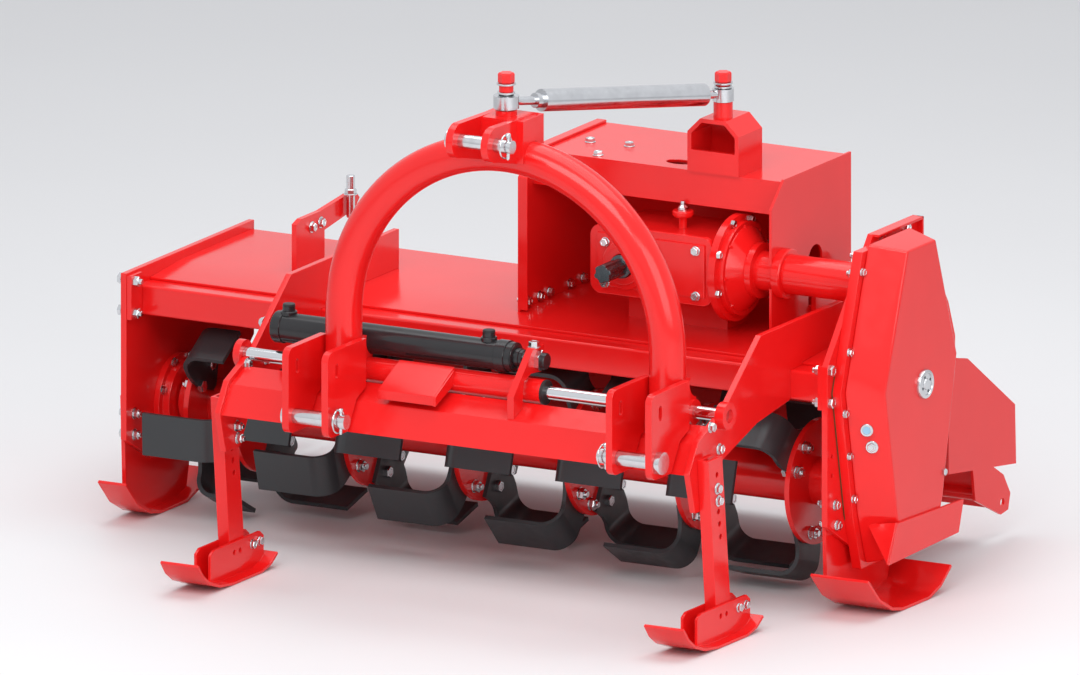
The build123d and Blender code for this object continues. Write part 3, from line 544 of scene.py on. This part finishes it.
# ---- pieces -------------------------------------------------------------------------------
class TILLER_OT_paintwork(bpy.types.Operator):
    """Paint every CAD piece and break the edges of the plates and castings"""
    bl_idname = "tiller.paintwork"
    bl_label = "Paintwork"

    def execute(self, context):
        settings = context.scene.tiller_finish
        made = finishes(settings)
        for name, node in NODES.items():
            node.data.materials.clear()
            node.data.materials.append(made[FINISH_OF_SLOT[SLOT_OF[name]]])
        widths = {name: settings.edge for name in PLAIN_PLATES}
        widths.update(SOFT_EDGES)
        for name, width in widths.items():
            piece = merged_copy(name)
            if name in DRILLED:
                holes(piece, *DRILLED[name])
            stand_for(broken_edges(piece, width), name)
        return {"FINISHED"}


class TILLER_OT_side_plates(bpy.types.Operator):
    """End flanges of the front tube and their bolts through the side plates"""
    bl_idname = "tiller.side_plates"
    bl_label = "Side plate bolts"

    def execute(self, context):
        size = context.scene.tiller_fasteners.large
        flange_t = 10
        sides = (("left", PLATE_LEFT_OUT, PLATE_LEFT_IN, LEFT, 12),
                 ("right", PLATE_RIGHT_OUT, PLATE_RIGHT_IN, RIGHT, None))
        for side, out, inner, direction, washer in sides:
            flange = block((flange_t, 42, 84), (inner - direction.x * flange_t / 2, 434.5, 430), 1.2)
            complete(flange, f"front_tube_flange_{side}")
            heads = across(out, ((424, 463), (424, 403)), direction)
            bolts(f"side_plate_bolts_{side}", heads, size, 8, washer)
            backs = across(inner - direction.x * flange_t, ((426, 460), (426, 400)), -direction)
            nuts(f"side_plate_nuts_{side}", backs, size - 2, 10, None, (5.5, 6))
        return {"FINISHED"}


class TILLER_OT_bearings(bpy.types.Operator):
    """Bolts and grease nipple of the rotor bearing on the left side"""
    bl_idname = "tiller.bearings"
    bl_label = "Rotor bearing"

    def execute(self, context):
        size = context.scene.tiller_fasteners.small
        hub_rise = 14
        inner = high("rotor_bearing").x - hub_rise
        outer = low("rotor_bearing").x
        inside = around(inner, ROTOR_Y, ROTOR_Z, 79, 8, 22.5, RIGHT)
        bolts("bearing_bolts_inside", inside, size, 6, 9)
        outside = around(outer, ROTOR_Y, ROTOR_Z, 42, 4, 45, LEFT)
        bolts("bearing_bolts_outside", outside, size, 6, None)
        nipple = turned([(5, -1), (5, 3), (3.2, 4), (3.2, 6), (4, 8), (3.2, 10), (1.5, 11)], 16)
        place = (outer, ROTOR_Y, ROTOR_Z + 12)
        complete(put(nipple, place, LEFT), "bearing_grease_nipple", "frame", "zinc")
        return {"FINISHED"}


class TILLER_OT_skids(bpy.types.Operator):
    """Bolts of the side skids, skid legs and front skids"""
    bl_idname = "tiller.skids"
    bl_label = "Skid bolts"

    def execute(self, context):
        size = context.scene.tiller_fasteners.medium
        left_line, right_line = ((442, 205), (442, 165)), ((442, 205), (448, 165))
        heads = across(PLATE_LEFT_OUT - WEB_T, left_line, LEFT) + across(PLATE_RIGHT_OUT, right_line, RIGHT)
        bolts("side_skid_bolts", heads, size, 7, 11)
        backs = across(PLATE_LEFT_IN, left_line, RIGHT) + across(PLATE_RIGHT_IN - WEB_T, right_line, LEFT)
        nuts("side_skid_nuts", backs, size, 9, 11)
        heads = []
        for place in LEG_BOLTS:
            heads += across(LEG_RIGHT_OUT, [place], RIGHT) + across(LEG_LEFT_OUT, [place], LEFT)
        bolts("skid_leg_bolts", heads, size, 7, 11)
        backs = across(END_LEFT_IN, LEG_BOLTS, RIGHT) + across(END_RIGHT_IN, LEG_BOLTS, LEFT)
        nuts("skid_leg_nuts", backs, size, 9, 11)
        heads, shanks = [], []
        for leg_left in (LEG_RIGHT_OUT - LEG_W, LEG_LEFT_OUT):
            for place in SHOE_BOLTS:
                heads += across(leg_left + LEG_W + SHOE_WALL, [place], RIGHT)
                heads += across(leg_left - SHOE_WALL, [place], LEFT)
                shanks += across(leg_left, [place], RIGHT)
        bolts("front_skid_bolts", heads, size - 1, 6, 9)
        shank = turned([(5.5, -1), (5.5, LEG_W + 1)], 20)
        complete(copies(shank, shanks), "front_skid_shanks", "frame", "zinc")
        return {"FINISHED"}


class TILLER_OT_end_plates(bpy.types.Operator):
    """Bolts on the hitch frame's end plates and its spring brackets"""
    bl_idname = "tiller.end_plates"
    bl_label = "End plate bolts"

    def execute(self, context):
        size = context.scene.tiller_fasteners.medium
        places = across(END_LEFT_IN, ((173, 401), (247, 395)), RIGHT)
        places += across(END_LEFT_OUT, ((264, 459),), LEFT)
        places += across(END_RIGHT_OUT, ((152, 402), (184, 354)), RIGHT)
        bolts("end_plate_bolts", places, size, 8, 11)
        bracket_t = 10
        arm = low("spring_brackets").x + bracket_t
        bolts("spring_bracket_bolts", across(arm, ((685, 535), (719, 537)), RIGHT), size, 7, 11)
        rod = turned([(7, -46), (8, -44), (8, 33), (7, 34)], 20)
        nut = hex_head(19, 9, 13)
        nut.data.transform(Matrix.Translation((0, 0, -2 * MM)))
        complete(put(joined([rod, nut]), (arm + 12, 812, 574)), "spring_rod_end", "frame", "zinc")
        return {"FINISHED"}


class TILLER_OT_housing(bpy.types.Operator):
    """Slot, access hole and bolts of the gearbox housing"""
    bl_idname = "tiller.housing"
    bl_label = "Gearbox housing"

    def execute(self, context):
        size = context.scene.tiller_fasteners.medium
        edge = context.scene.tiller_finish.edge
        right = merged_copy("housing_right")
        slot_y = 738.5
        cut(right, [block((30, 53, 86), (HOUSE_RIGHT_OUT, slot_y, 543), 0.1)])
        cut(right, [put(turned([(26.5, -15), (26.5, 15)], 40), (HOUSE_RIGHT_OUT, slot_y, 586), RIGHT)])
        stand_for(broken_edges(right, edge), "housing_right")
        top = merged_copy("housing_top")
        hole = turned([(18, -15), (18, 15)], 40)
        hole.data.transform(Matrix.Diagonal((1.5, 0.95, 1, 1)))
        cut(top, [put(hole, (78, 668, HOUSE_TOP))])
        stand_for(broken_edges(top, edge), "housing_top")
        stand_for(broken_edges(merged_copy("housing_left"), edge), "housing_left")
        base = [(y, HOOD_TOP + 11) for y in BASE_BOLT_YS]
        heads = across(HOUSE_LEFT_OUT + SHEET, base, RIGHT) + across(HOUSE_RIGHT_OUT, base, RIGHT)
        bolts("housing_base_bolts", heads, size, 7, 10)
        backs = across(HOUSE_LEFT_OUT, base, LEFT) + across(HOUSE_RIGHT_OUT - SHEET, base, LEFT)
        nuts("housing_base_nuts", backs, size, 8, 10)
        tops = [((-141, 722, HOUSE_TOP), UP), ((-62, 728, HOUSE_TOP), UP), ((-78, 638, HOUSE_TOP), UP)]
        bolts("housing_top_bolts", tops, size, 7, 10)
        strap_t, strap_z = 6, 489
        strap = block((strap_t, 96, 20), (HOUSE_RIGHT_OUT + strap_t / 2, 770, strap_z), 1.5)
        complete(strap, "housing_strap")
        strap_bolts = across(HOUSE_RIGHT_OUT + strap_t, ((734, strap_z), (805, strap_z)), RIGHT)
        bolts("housing_strap_bolts", strap_bolts, size, 7, None)
        return {"FINISHED"}


class TILLER_OT_gearbox(bpy.types.Operator):
    """Front cover, side flange and filler of the gearbox"""
    bl_idname = "tiller.gearbox"
    bl_label = "Gearbox"

    def execute(self, context):
        size = context.scene.tiller_fasteners.small
        panel = block((228, 5, 101), (95, COVER_FRONT - 1.5, 590.5), 2.2)
        hub = put(turned([(46, 4), (46, 7.5), (44, 9)], 48), (SHAFT_X, COVER_FRONT, DRIVE_Z), FRONT)
        complete(joined([panel, hub]), "gearbox_cover_panel")
        corners = ((191, 629), (191, 543), (0, 624), (82, 624), (0, 546), (82, 546))
        places = [((x, COVER_FRONT - 4, z), FRONT) for x, z in corners]
        bolts("gearbox_cover_bolts", places, size + 2, 7, 9)
        flange_x, cone_x, rib_x = 237, 248, 254
        places = around(flange_x, DRIVE_Y, DRIVE_Z, 94, 8, 19, RIGHT)
        clear = [place for place in places if place[0][2] > DRIVE_Z - 60]
        bolts("gearbox_flange_bolts", clear, size + 2, 7, None)
        cone = turned([(80, 0), (79, 3), (54, 24), (52, 25)], 64)
        complete(put(cone, (cone_x, DRIVE_Y, DRIVE_Z), RIGHT), "gearbox_side_cone")
        self.add_ribs((rib_x, DRIVE_Y, DRIVE_Z), 69, 8, -41.5)
        collar = turned([(46, 0), (47, 2), (47, 16), (45, 18)], 56)
        complete(put(collar, (HOUSE_RIGHT_OUT, DRIVE_Y, DRIVE_Z), RIGHT), "drive_tube_collar")
        box_top, filler_top = (116, 612, 640), (116, 612, 680)
        filler = turned([(8, 0), (8, 26), (17, 28), (20, 32), (20, 38), (18, 40), (15, 40)], 36)
        complete(put(filler, box_top), "gearbox_filler")
        breather = turned([(10, 0), (10, 6), (7, 8), (5, 10), (5, 15), (3.5, 17)], 24)
        complete(put(breather, filler_top), "gearbox_breather", "frame", "zinc")
        return {"FINISHED"}

    def add_ribs(self, hub, radius, count, first):
        """Ribs that slope down outwards, round a hub on X, the first at an angle in degrees."""
        rib = block((6, 30, 17), (0, 0, 0), 1.5)
        rib.data.transform(Matrix.Translation(-spot(0, 0, 0)))
        pick(rib, lambda v: v.co.z > 0 and v.co.y > 0, "VERT")
        bpy.ops.transform.translate(value=(0, 0, -12 * MM))
        leave_edit()
        outwards = Matrix.Translation(Vector((0, radius, 0)) * MM)
        on_edge = Matrix.Rotation(math.radians(90), 4, "Y")
        ribs = []
        for index in range(count):
            copy = rib.copy()
            copy.data = rib.data.copy()
            bpy.context.scene.collection.objects.link(copy)
            turn = Matrix.Rotation(math.radians(first - 360 / count * index), 4, "X")
            copy.data.transform(turn @ outwards @ on_edge)
            copy.data.transform(Matrix.Translation(spot(*hub)))
            ribs.append(copy)
        bpy.data.objects.remove(rib)
        complete(joined(ribs), "gearbox_side_ribs")


class TILLER_OT_input_shaft(bpy.types.Operator):
    """Splined input shaft with its collar"""
    bl_idname = "tiller.input_shaft"
    bl_label = "Input shaft"

    def execute(self, context):
        start, end = low("input_shaft").y, high("input_shaft").y
        length = end - start
        core, chamfer = 0.84, 1.04
        # six splines: of each 60 degrees of the circle, half stays out and half shrinks to the core
        bpy.ops.object.select_all(action="DESELECT")
        bpy.ops.mesh.primitive_circle_add(vertices=48, radius=17.5 * MM, fill_type="NGON")
        shaft = settle(bpy.context.object)
        pick(shaft, lambda v: (math.degrees(math.atan2(v.co.y, v.co.x)) + 3.75) % 60 < 30, "VERT")
        bpy.ops.transform.resize(value=(core, core, 1), center_override=(0, 0, 0))
        bpy.ops.mesh.select_mode(type="FACE")
        bpy.ops.mesh.select_all(action="SELECT")
        for step, ratio in ((0.8, chamfer), (64, 1.0), (0.8, 1.0)):
            bpy.ops.mesh.extrude_region_move(TRANSFORM_OT_translate={"value": (0, 0, step * MM)})
            bpy.ops.transform.resize(value=(ratio, ratio, 1), center_override=(0, 0, 0))
        bpy.ops.mesh.select_all(action="SELECT")
        bpy.ops.transform.resize(value=(1 / chamfer, 1 / chamfer, 1), center_override=(0, 0, 0))
        bpy.ops.mesh.normals_make_consistent(inside=False)
        leave_edit()
        collar = turned([(16, 60), (16.5, 60.5), (16.5, 64), (20.5, 66), (22, 67.5),
                         (22, length - 1), (20, length)], 48)
        whole = put(joined([shaft, collar]), (SHAFT_X, start, DRIVE_Z), BACK)
        piece = complete(whole, "input_shaft_splined", "shaft", "zinc", "tiller_dark_steel")
        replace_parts(piece, "input_shaft")
        return {"FINISHED"}


def grown(points, by):
    """Closed outline moved outwards by a distance, corner by corner."""
    area = sum(a[0] * b[1] - b[0] * a[1] for a, b in zip(points, points[1:] + points[:1]))
    side = 1 if area > 0 else -1
    moved = []
    for before, here, after in zip(points[-1:] + points[:-1], points, points[1:] + points[:1]):
        first = Vector((here[0] - before[0], here[1] - before[1])).normalized()
        second = Vector((after[0] - here[0], after[1] - here[1])).normalized()
        out_first = Vector((first.y, -first.x)) * side
        out_second = Vector((second.y, -second.x)) * side
        out = (out_first + out_second) / (1 + out_first.dot(out_second))
        moved.append((here[0] + out.x * by, here[1] + out.y * by))
    return moved


def along(points, start, end, count):
    """Evenly spaced places on the side of an outline from one corner to another."""
    (y, z), (far_y, far_z) = points[start], points[end]
    shares = [(index + 0.5) / count for index in range(count)]
    return [(y + (far_y - y) * share, z + (far_z - z) * share) for share in shares]


# Raised face of the gear case, (Y, Z), from the top front corner round by the foot
CASE_OUTLINE = [(555, 673), (467, 420), (513, 179), (545, 96),
                (655, 96), (687, 179), (741, 441), (661, 673)]
CASE_FRONT_NORMAL = Vector((0.344, -0.939, 0))    # the case's slanted front wall faces this way
SIGHT_GLASS = (585.7, 465.7, 348.5)
LEVEL_PLUG = (591.4, 474.5, 315)
ADJUSTER = (615, 409)                            # middle of the bearing adjuster, (Y, Z)


class TILLER_OT_gear_case(bpy.types.Operator):
    """Rim bolts, seal, sight glass, plug and cap of the side gear case"""
    bl_idname = "tiller.gear_case"
    bl_label = "Gear case"

    def execute(self, context):
        size = context.scene.tiller_fasteners.small
        line = grown(CASE_OUTLINE, 33)
        rim = []
        for start, end, count in ((0, 1, 2), (1, 2, 3), (5, 6, 3), (6, 7, 3)):
            rim += along(line, start, end, count)
        bolts("gear_case_rim_bolts", across(CASE_RIM, rim, RIGHT), size + 1, 6, 8)
        case = cut(merged_copy("gear_case"), [block((60, 400, 60), (CASE_RIM - 10, 608, 702), 0.1)])
        bore = put(turned([(27, -8), (27, 12)], 48), (PLATE_RIGHT_OUT, ROTOR_Y, ROTOR_Z), RIGHT)
        stand_for(broken_edges(cut(case, [bore]), 1.2), "gear_case")
        case_middle_y, seal_reach, seal_top = ROTOR_Y + 5, 40.8, 671
        seal_outline = []
        for y, z in CASE_OUTLINE:
            outwards = seal_reach if y > case_middle_y else -seal_reach
            seal_outline.append((y + outwards, min(z, seal_top)))
        seal = plate(seal_outline, PLATE_RIGHT_OUT + 0.4, PLATE_RIGHT_OUT + 2.6, "X", None)
        complete(seal, "gear_case_seal", "frame", "red_paint", "tiller_seal")
        glass_ring = turned([(9, -4), (12, -4), (12, 4), (11, 5), (8, 5), (7.5, 3.6)], 32)
        put(glass_ring, SIGHT_GLASS, CASE_FRONT_NORMAL)
        complete(glass_ring, "sight_glass_ring", "frame", "zinc")
        glass = put(turned([(7.6, 0), (7.6, 3.4), (6.8, 4.0)], 28), SIGHT_GLASS, CASE_FRONT_NORMAL)
        complete(glass, "sight_glass", "frame", "zinc", "tiller_sight_glass")
        plug = joined([turned([(12, -4), (12, 2), (11, 3)], 32), hex_head(15, 8)])
        complete(put(plug, LEVEL_PLUG, CASE_FRONT_NORMAL), "level_plug", "frame", "zinc")
        cap = turned([(28, 0), (28, 5), (26.5, 7.5), (23, 8.5), (20.5, 8.5),
                      (19.5, 6.5), (11, 6.5), (10, 8.5), (7, 8.5)], 40)
        put(cap, (CASE_FACE - 1, *ADJUSTER), RIGHT)
        complete(cap, "bearing_adjuster_cap", "frame", "zinc")
        dimple = turned([(2.9, -0.5), (2.9, 0.5), (2.4, 0.8)], 16)
        dimples = copies(dimple, around(CASE_FACE + 5.3, *ADJUSTER, 15.3, 4, 25, RIGHT))
        complete(dimples, "bearing_adjuster_dimples", "frame", "zinc", "tiller_dark_steel")
        guard = plate([(505, 168), (756, 161), (737, 102), (471, 95)], CASE_FACE, CASE_FACE + 6, "X", 1)
        turned_in = facet([(CASE_FACE + 5, 471, 96), (CASE_FACE + 5, 505, 168),
                           (CASE_FACE - 57, 507, 158)])
        modified(turned_in, "SOLIDIFY", thickness=5 * MM, offset=1)
        pick(turned_in, lambda face: True)
        bpy.ops.mesh.normals_make_consistent(inside=False)
        leave_edit()
        bent = complete(joined([guard, broken_edges(turned_in, 0.8)]), "case_guard_bent")
        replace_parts(bent, "case_guard")
        bolts("gear_case_rear_bolt", [((CASE_FACE, 688, 227), RIGHT)], size, 6, None)
        return {"FINISHED"}


class TILLER_OT_ear(bpy.types.Operator):
    """Bolts of the ear plate on the right side"""
    bl_idname = "tiller.ear"
    bl_label = "Ear plate bolts"

    def execute(self, context):
        size = context.scene.tiller_fasteners.medium
        top_flange = block((14, 171, 5), (PLATE_RIGHT_OUT + 5, 671.5, 685.5), 1)
        back_flange = block((14, 5, 46), (PLATE_RIGHT_OUT + 5, 754.5, 665), 1)
        complete(joined([top_flange, back_flange]), "ear_flange")
        heads = across(PLATE_RIGHT_OUT, ((616, 674), (712, 674), (722, 645)), RIGHT)
        bolts("ear_bolts", heads, size, 7, None)
        backs = across(PLATE_RIGHT_OUT, ((526, 659), (513, 628)), LEFT)
        nuts("ear_nuts", backs, size, 8, 10)
        return {"FINISHED"}


PORT_XS = (-492, -70)     # the cylinder's two oil ports


class TILLER_OT_cylinder(bpy.types.Operator):
    """Gland, end band, ports and rod end of the side-shift cylinder, and the sleeve's wiper"""
    bl_idname = "tiller.cylinder"
    bl_label = "Side-shift cylinder"

    def execute(self, context):
        start, end = low("cylinder_barrel").x, high("cylinder_barrel").x
        radius = CYL_R
        gland = turned([(radius + 1, -34), (radius + 2.2, -33), (radius + 2.2, -13), (radius + 1, -12)], 56)
        complete(put(gland, (end, CYL_Y, CYL_Z), RIGHT), "cylinder_gland", "hitch", "black_paint")
        head = turned([(radius - 2, -2), (radius - 3, 1), (20, 3), (18.5, 3), (18.5, 0)], 48)
        complete(put(head, (end, CYL_Y, CYL_Z), RIGHT), "cylinder_wiper", "hitch", "black_paint")
        cap = turned([(radius + 1, -2), (radius + 2, 0), (radius + 2, 16), (radius + 1, 17)], 56)
        put(cap, (start + 3, CYL_Y, CYL_Z), RIGHT)
        complete(cap, "cylinder_end_band", "hitch", "black_paint")
        boss = turned([(14, -2), (15.5, 0), (15.5, 6), (14, 8), (10, 8)], 36)
        bosses = copies(boss, [((x, CYL_Y, CYL_Z + radius - 3), UP) for x in PORT_XS])
        complete(bosses, "cylinder_port_bosses", "hitch", "black_paint")
        plug = turned([(11.5, 0), (11.5, 5), (10.5, 6), (8, 6.5)], 32)
        port_top = high("cylinder_barrel").z
        plugs = copies(plug, [((x, CYL_Y, port_top - 2), UP) for x in PORT_XS])
        complete(plugs, "cylinder_port_plugs", "hitch", "black_paint", "tiller_dark_rubber")
        neck = turned([(18, -3), (18, 12), (16.5, 13), (16.5, 19), (15.5, 20), (13.5, 20)], 44)
        complete(put(neck, (end, CYL_Y, CYL_Z), RIGHT), "cylinder_neck", "hitch", "black_paint")
        lug = high("cylinder_lug")
        stub = turned([(15, -1), (15.5, 0), (15.5, 17), (14, 19), (8, 19)], 40)
        complete(put(stub, (lug.x, CYL_Y, CYL_Z), RIGHT), "cylinder_rod_end", "frame", "black_paint")
        pinch = put(hex_head(18, 10, 12), (lug.x - 7, CYL_Y - 3, lug.z - 1.5))
        complete(pinch, "cylinder_lug_bolt", "frame", "zinc")
        wiper = turned([(13.4, 0), (23.4, 0), (23.4, 5), (22.4, 6), (13.4, 6)], 44)
        put(wiper, (high("slide_sleeve").x - 0.5, ROD_Y, ROD_Z), RIGHT)
        complete(wiper, "sleeve_wiper", "hitch", "red_paint", "tiller_dark_rubber")
        return {"FINISHED"}


class TILLER_OT_hitch(bpy.types.Operator):
    """Turned-down sides of the saddle plate and lynch pins of the hitch"""
    bl_idname = "tiller.hitch"
    bl_label = "Hitch pins"

    def execute(self, context):
        flange_t = 6
        outline = [(101, 404), (101, 386), (172, 413), (172, 440)]
        sides = [plate(outline, x, x + flange_t) for x in (-244, -128)]
        sides.append(block((116, 5, 17), (-183, 102.5, 396)))
        complete(joined(sides), "saddle_flanges", "hitch")
        lynch_pin("lynch_pin_left", (-280, PIN_Y, PIN_Z))
        lynch_pin("lynch_pin_right", (280, PIN_Y, PIN_Z))
        lynch_pin("lynch_pin_top", (70, TOP_PIN_Y, TOP_PIN_Z))
        return {"FINISHED"}


class TILLER_OT_stay(bpy.types.Operator):
    """Bolts, washers and heads of the top stay, and the back plate of its bracket"""
    bl_idname = "tiller.stay"
    bl_label = "Top stay"

    def execute(self, context):
        for which, body, seat in (("front", "hitch", 40), ("rear", "frame", 30)):
            node = "stay_bolt_" + which
            bolt_low, bolt_high = low(node), high(node)
            x, y = (bolt_low.x + bolt_high.x) / 2, (bolt_low.y + bolt_high.y) / 2
            top = bolt_high.z - bolt_low.z
            bolt = turned([(9, 0), (9, top - 3), (8.5, top - 2.5)], 32)
            under = top - seat
            over = under + 4.5
            washer = turned([(15.5, under), (16.5, under + 0.6), (16.5, over - 0.6), (15.5, over)], 36)
            upper = turned([(17, top - 23), (18, top - 22.4), (18, top - 19.6), (17, top - 19)], 36)
            whole = put(joined([bolt, washer, upper]), (x, y, bolt_low.z))
            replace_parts(complete(whole, f"stay_{which}_bolt", body, "zinc"), node)
            band = turned([(13, over), (13.5, over + 0.5), (13.5, top - 24), (13, top - 23)], 36)
            head = turned([(13.8, top - 19), (15.6, top - 18.2), (15.6, top - 3), (13.2, top)], 6)
            whole = put(joined([head, band]), (x, y, bolt_low.z))
            complete(whole, f"stay_{which}_head", body, "red_paint")
        outline = [(132, 757), (132, 827), (158, 853), (200, 853), (226, 827), (226, 757)]
        complete(plate(outline, 690, 696, "Y", 0.6), "stay_bracket_back")
        return {"FINISHED"}


# Middle planes of the rotor's flanges along X, and the turns of the blades on their left and
# right sides, in degrees from straight up
FLANGE_MIDDLES = (-862, -760, -526.6, -293.2, -59.8, 173.6, 407)
BLADE_TURNS = ((None, 160), (99, 202), (113, 202), (127, 202), (141, 202), (155, 202), (169, None))
BLADES_PER_SIDE = 3
BLADE_ROOT_TURN = 4.3    # from a blade's turn to the middle between its two bolts
BOLT_SHARE = 15          # from there to each bolt, in degrees
BLADE_BOLT_R = 97        # circle of the blade bolts
BLADE_COVER = 35         # a blade's root hides what is nearer to its middle than this, in degrees
FLANGE_T = 10.0
BLADE_T = 8.0


def hidden(turn, other):
    """Whether the root of a blade on the flange's other side lies over this turn."""
    if other is None:
        return False
    pitch = 360 / BLADES_PER_SIDE
    off = (turn - other - BLADE_ROOT_TURN) % pitch
    return min(off, pitch - off) < BLADE_COVER


class TILLER_OT_rotor(bpy.types.Operator):
    """Two bolts for each blade, with their nuts where no blade on the other side hides them"""
    bl_idname = "tiller.rotor"
    bl_label = "Blade bolts"

    def execute(self, context):
        size = context.scene.tiller_fasteners.large + 1
        heads, backs = [], []
        for x, (left_turn, right_turn) in zip(FLANGE_MIDDLES, BLADE_TURNS):
            for side, first, other in ((-1, left_turn, right_turn), (1, right_turn, left_turn)):
                if first is None:
                    continue
                for index in range(BLADES_PER_SIDE):
                    for share in (-BOLT_SHARE, BOLT_SHARE):
                        turn = first + 360 / BLADES_PER_SIDE * index + BLADE_ROOT_TURN + share
                        angle = math.radians(turn)
                        y = ROTOR_Y - BLADE_BOLT_R * math.sin(angle)
                        z = ROTOR_Z + BLADE_BOLT_R * math.cos(angle)
                        head_x = x + side * (FLANGE_T / 2 + BLADE_T)
                        heads.append(((head_x, y, z), RIGHT * side))
                        if not hidden(turn, other):
                            backs.append(((x - side * FLANGE_T / 2, y, z), RIGHT * -side))
        complete(copies(hex_head(size, 9), heads), "blade_bolts", "rotor", "zinc")
        complete(copies(hex_head(size, 10, 12.5, (6.5, 6)), backs), "blade_nuts", "rotor", "zinc")
        return {"FINISHED"}


class TILLER_OT_stage(bpy.types.Operator):
    """Floor, soft lamps, world and camera"""
    bl_idname = "tiller.stage"
    bl_label = "Stage"

    def execute(self, context):
        scene = context.scene
        settings = scene.tiller_stage
        bpy.ops.object.select_all(action="DESELECT")
        bpy.ops.mesh.primitive_plane_add(size=60, location=(0, 0, -0.0005))
        floor = context.object
        floor.name = "floor"
        material, tree, shader = new_material("studio_floor")
        shader.inputs["Roughness"].default_value = 0.55
        pale = tuple(settings.floor_colour)
        worn = tuple(c * 0.985 for c in pale)
        shade = two_colours(tree, spread(tree, noise(tree, 1.5, 2), 0, 1), pale, worn)
        tree.links.new(shade, shader.inputs["Base Color"])
        floor.data.materials.append(material)
        world = bpy.data.worlds.new("studio")
        scene.world = world
        world.use_nodes = True
        tree = world.node_tree
        background = tree.nodes["Background"]
        background.inputs["Color"].default_value = (0.95, 0.965, 1.0, 1)
        # the world lights things at 0.55, shows at 0.85 in gloss, and is 0.42 brighter to the camera
        rays = tree.nodes.new("ShaderNodeLightPath")
        strength = tree.nodes.new("ShaderNodeMath")
        strength.operation = "MULTIPLY_ADD"
        strength.inputs[1].default_value = 0.42
        tree.links.new(rays.outputs["Is Camera Ray"], strength.inputs[0])
        in_gloss = spread(tree, rays.outputs["Is Glossy Ray"], 0.55, 0.85, 0, 1)
        tree.links.new(in_gloss, strength.inputs[2])
        tree.links.new(strength.outputs[0], background.inputs["Strength"])
        # columns: name, place, target, width, depth, power
        lamps = [("key", (0.7, -4.4, 4.3), (0, 0, 0.4), 4.4, 2.8, 150),
                 ("fill", (4.4, -2.8, 2.2), (0.2, 0, 0.4), 3.6, 3.0, 75),
                 ("top", (0.2, 0.6, 4.6), (0, 0, 0.3), 5.0, 4.0, 115)]
        for name, place, target, width, depth, power in lamps:
            bpy.ops.object.light_add(type="AREA", location=place)
            lamp = context.object
            lamp.name = name
            lamp.data.shape = "RECTANGLE"
            lamp.data.size = width
            lamp.data.size_y = depth
            lamp.data.energy = power
            lamp.rotation_mode = "QUATERNION"
            lamp.rotation_quaternion = (Vector(target) - Vector(place)).to_track_quat("-Z", "Y")
        turn, tilt = settings.azimuth, settings.elevation
        level = math.cos(tilt)
        back = Vector((math.sin(turn) * level, -math.cos(turn) * level, math.sin(tilt)))
        right = Vector((math.cos(turn), math.sin(turn), 0))
        up = back.cross(right)
        aim = spot(-150, 400, 410) + right * 0.0717 + up * 0.0402
        camera = bpy.data.objects.new("camera", bpy.data.cameras.new("camera"))
        scene.collection.objects.link(camera)
        camera.data.type = "ORTHO"
        camera.data.ortho_scale = settings.width
        camera.location = aim + back * 6
        camera.rotation_mode = "QUATERNION"
        camera.rotation_quaternion = (-back).to_track_quat("-Z", "Y")
        scene.camera = camera
        scene.view_settings.view_transform = "Standard"
        return {"FINISHED"}


class TILLER_PT_panel(bpy.types.Panel):
    """Shows the settings of the machine and a button for each of its steps"""
    bl_idname = "TILLER_PT_panel"
    bl_label = "Rotary tiller"
    bl_space_type = "VIEW_3D"
    bl_region_type = "UI"
    bl_category = "Tiller"

    def draw(self, context):
        scene = context.scene
        for settings in (scene.tiller_finish, scene.tiller_fasteners, scene.tiller_stage):
            for name in settings.__annotations__:
                self.layout.prop(settings, name)
        for step in STEPS:
            self.layout.operator(step.bl_idname)


STEPS = (TILLER_OT_paintwork, TILLER_OT_side_plates, TILLER_OT_bearings, TILLER_OT_skids,
         TILLER_OT_end_plates, TILLER_OT_housing, TILLER_OT_gearbox, TILLER_OT_input_shaft,
         TILLER_OT_gear_case, TILLER_OT_ear, TILLER_OT_cylinder, TILLER_OT_hitch, TILLER_OT_stay,
         TILLER_OT_rotor, TILLER_OT_stage)
CLASSES = (TILLER_PG_finish, TILLER_PG_fasteners, TILLER_PG_stage, *STEPS, TILLER_PT_panel)


def register():
    for cls in CLASSES:
        bpy.utils.register_class(cls)
    bpy.types.Scene.tiller_finish = PointerProperty(type=TILLER_PG_finish)
    bpy.types.Scene.tiller_fasteners = PointerProperty(type=TILLER_PG_fasteners)
    bpy.types.Scene.tiller_stage = PointerProperty(type=TILLER_PG_stage)


def unregister():
    del bpy.types.Scene.tiller_finish
    del bpy.types.Scene.tiller_fasteners
    del bpy.types.Scene.tiller_stage
    for cls in reversed(CLASSES):
        bpy.utils.unregister_class(cls)


def main():
    register()
    for step in STEPS:
        group, name = step.bl_idname.split(".")
        getattr(getattr(bpy.ops, group), name)()


if __name__ == "__main__":
    main()
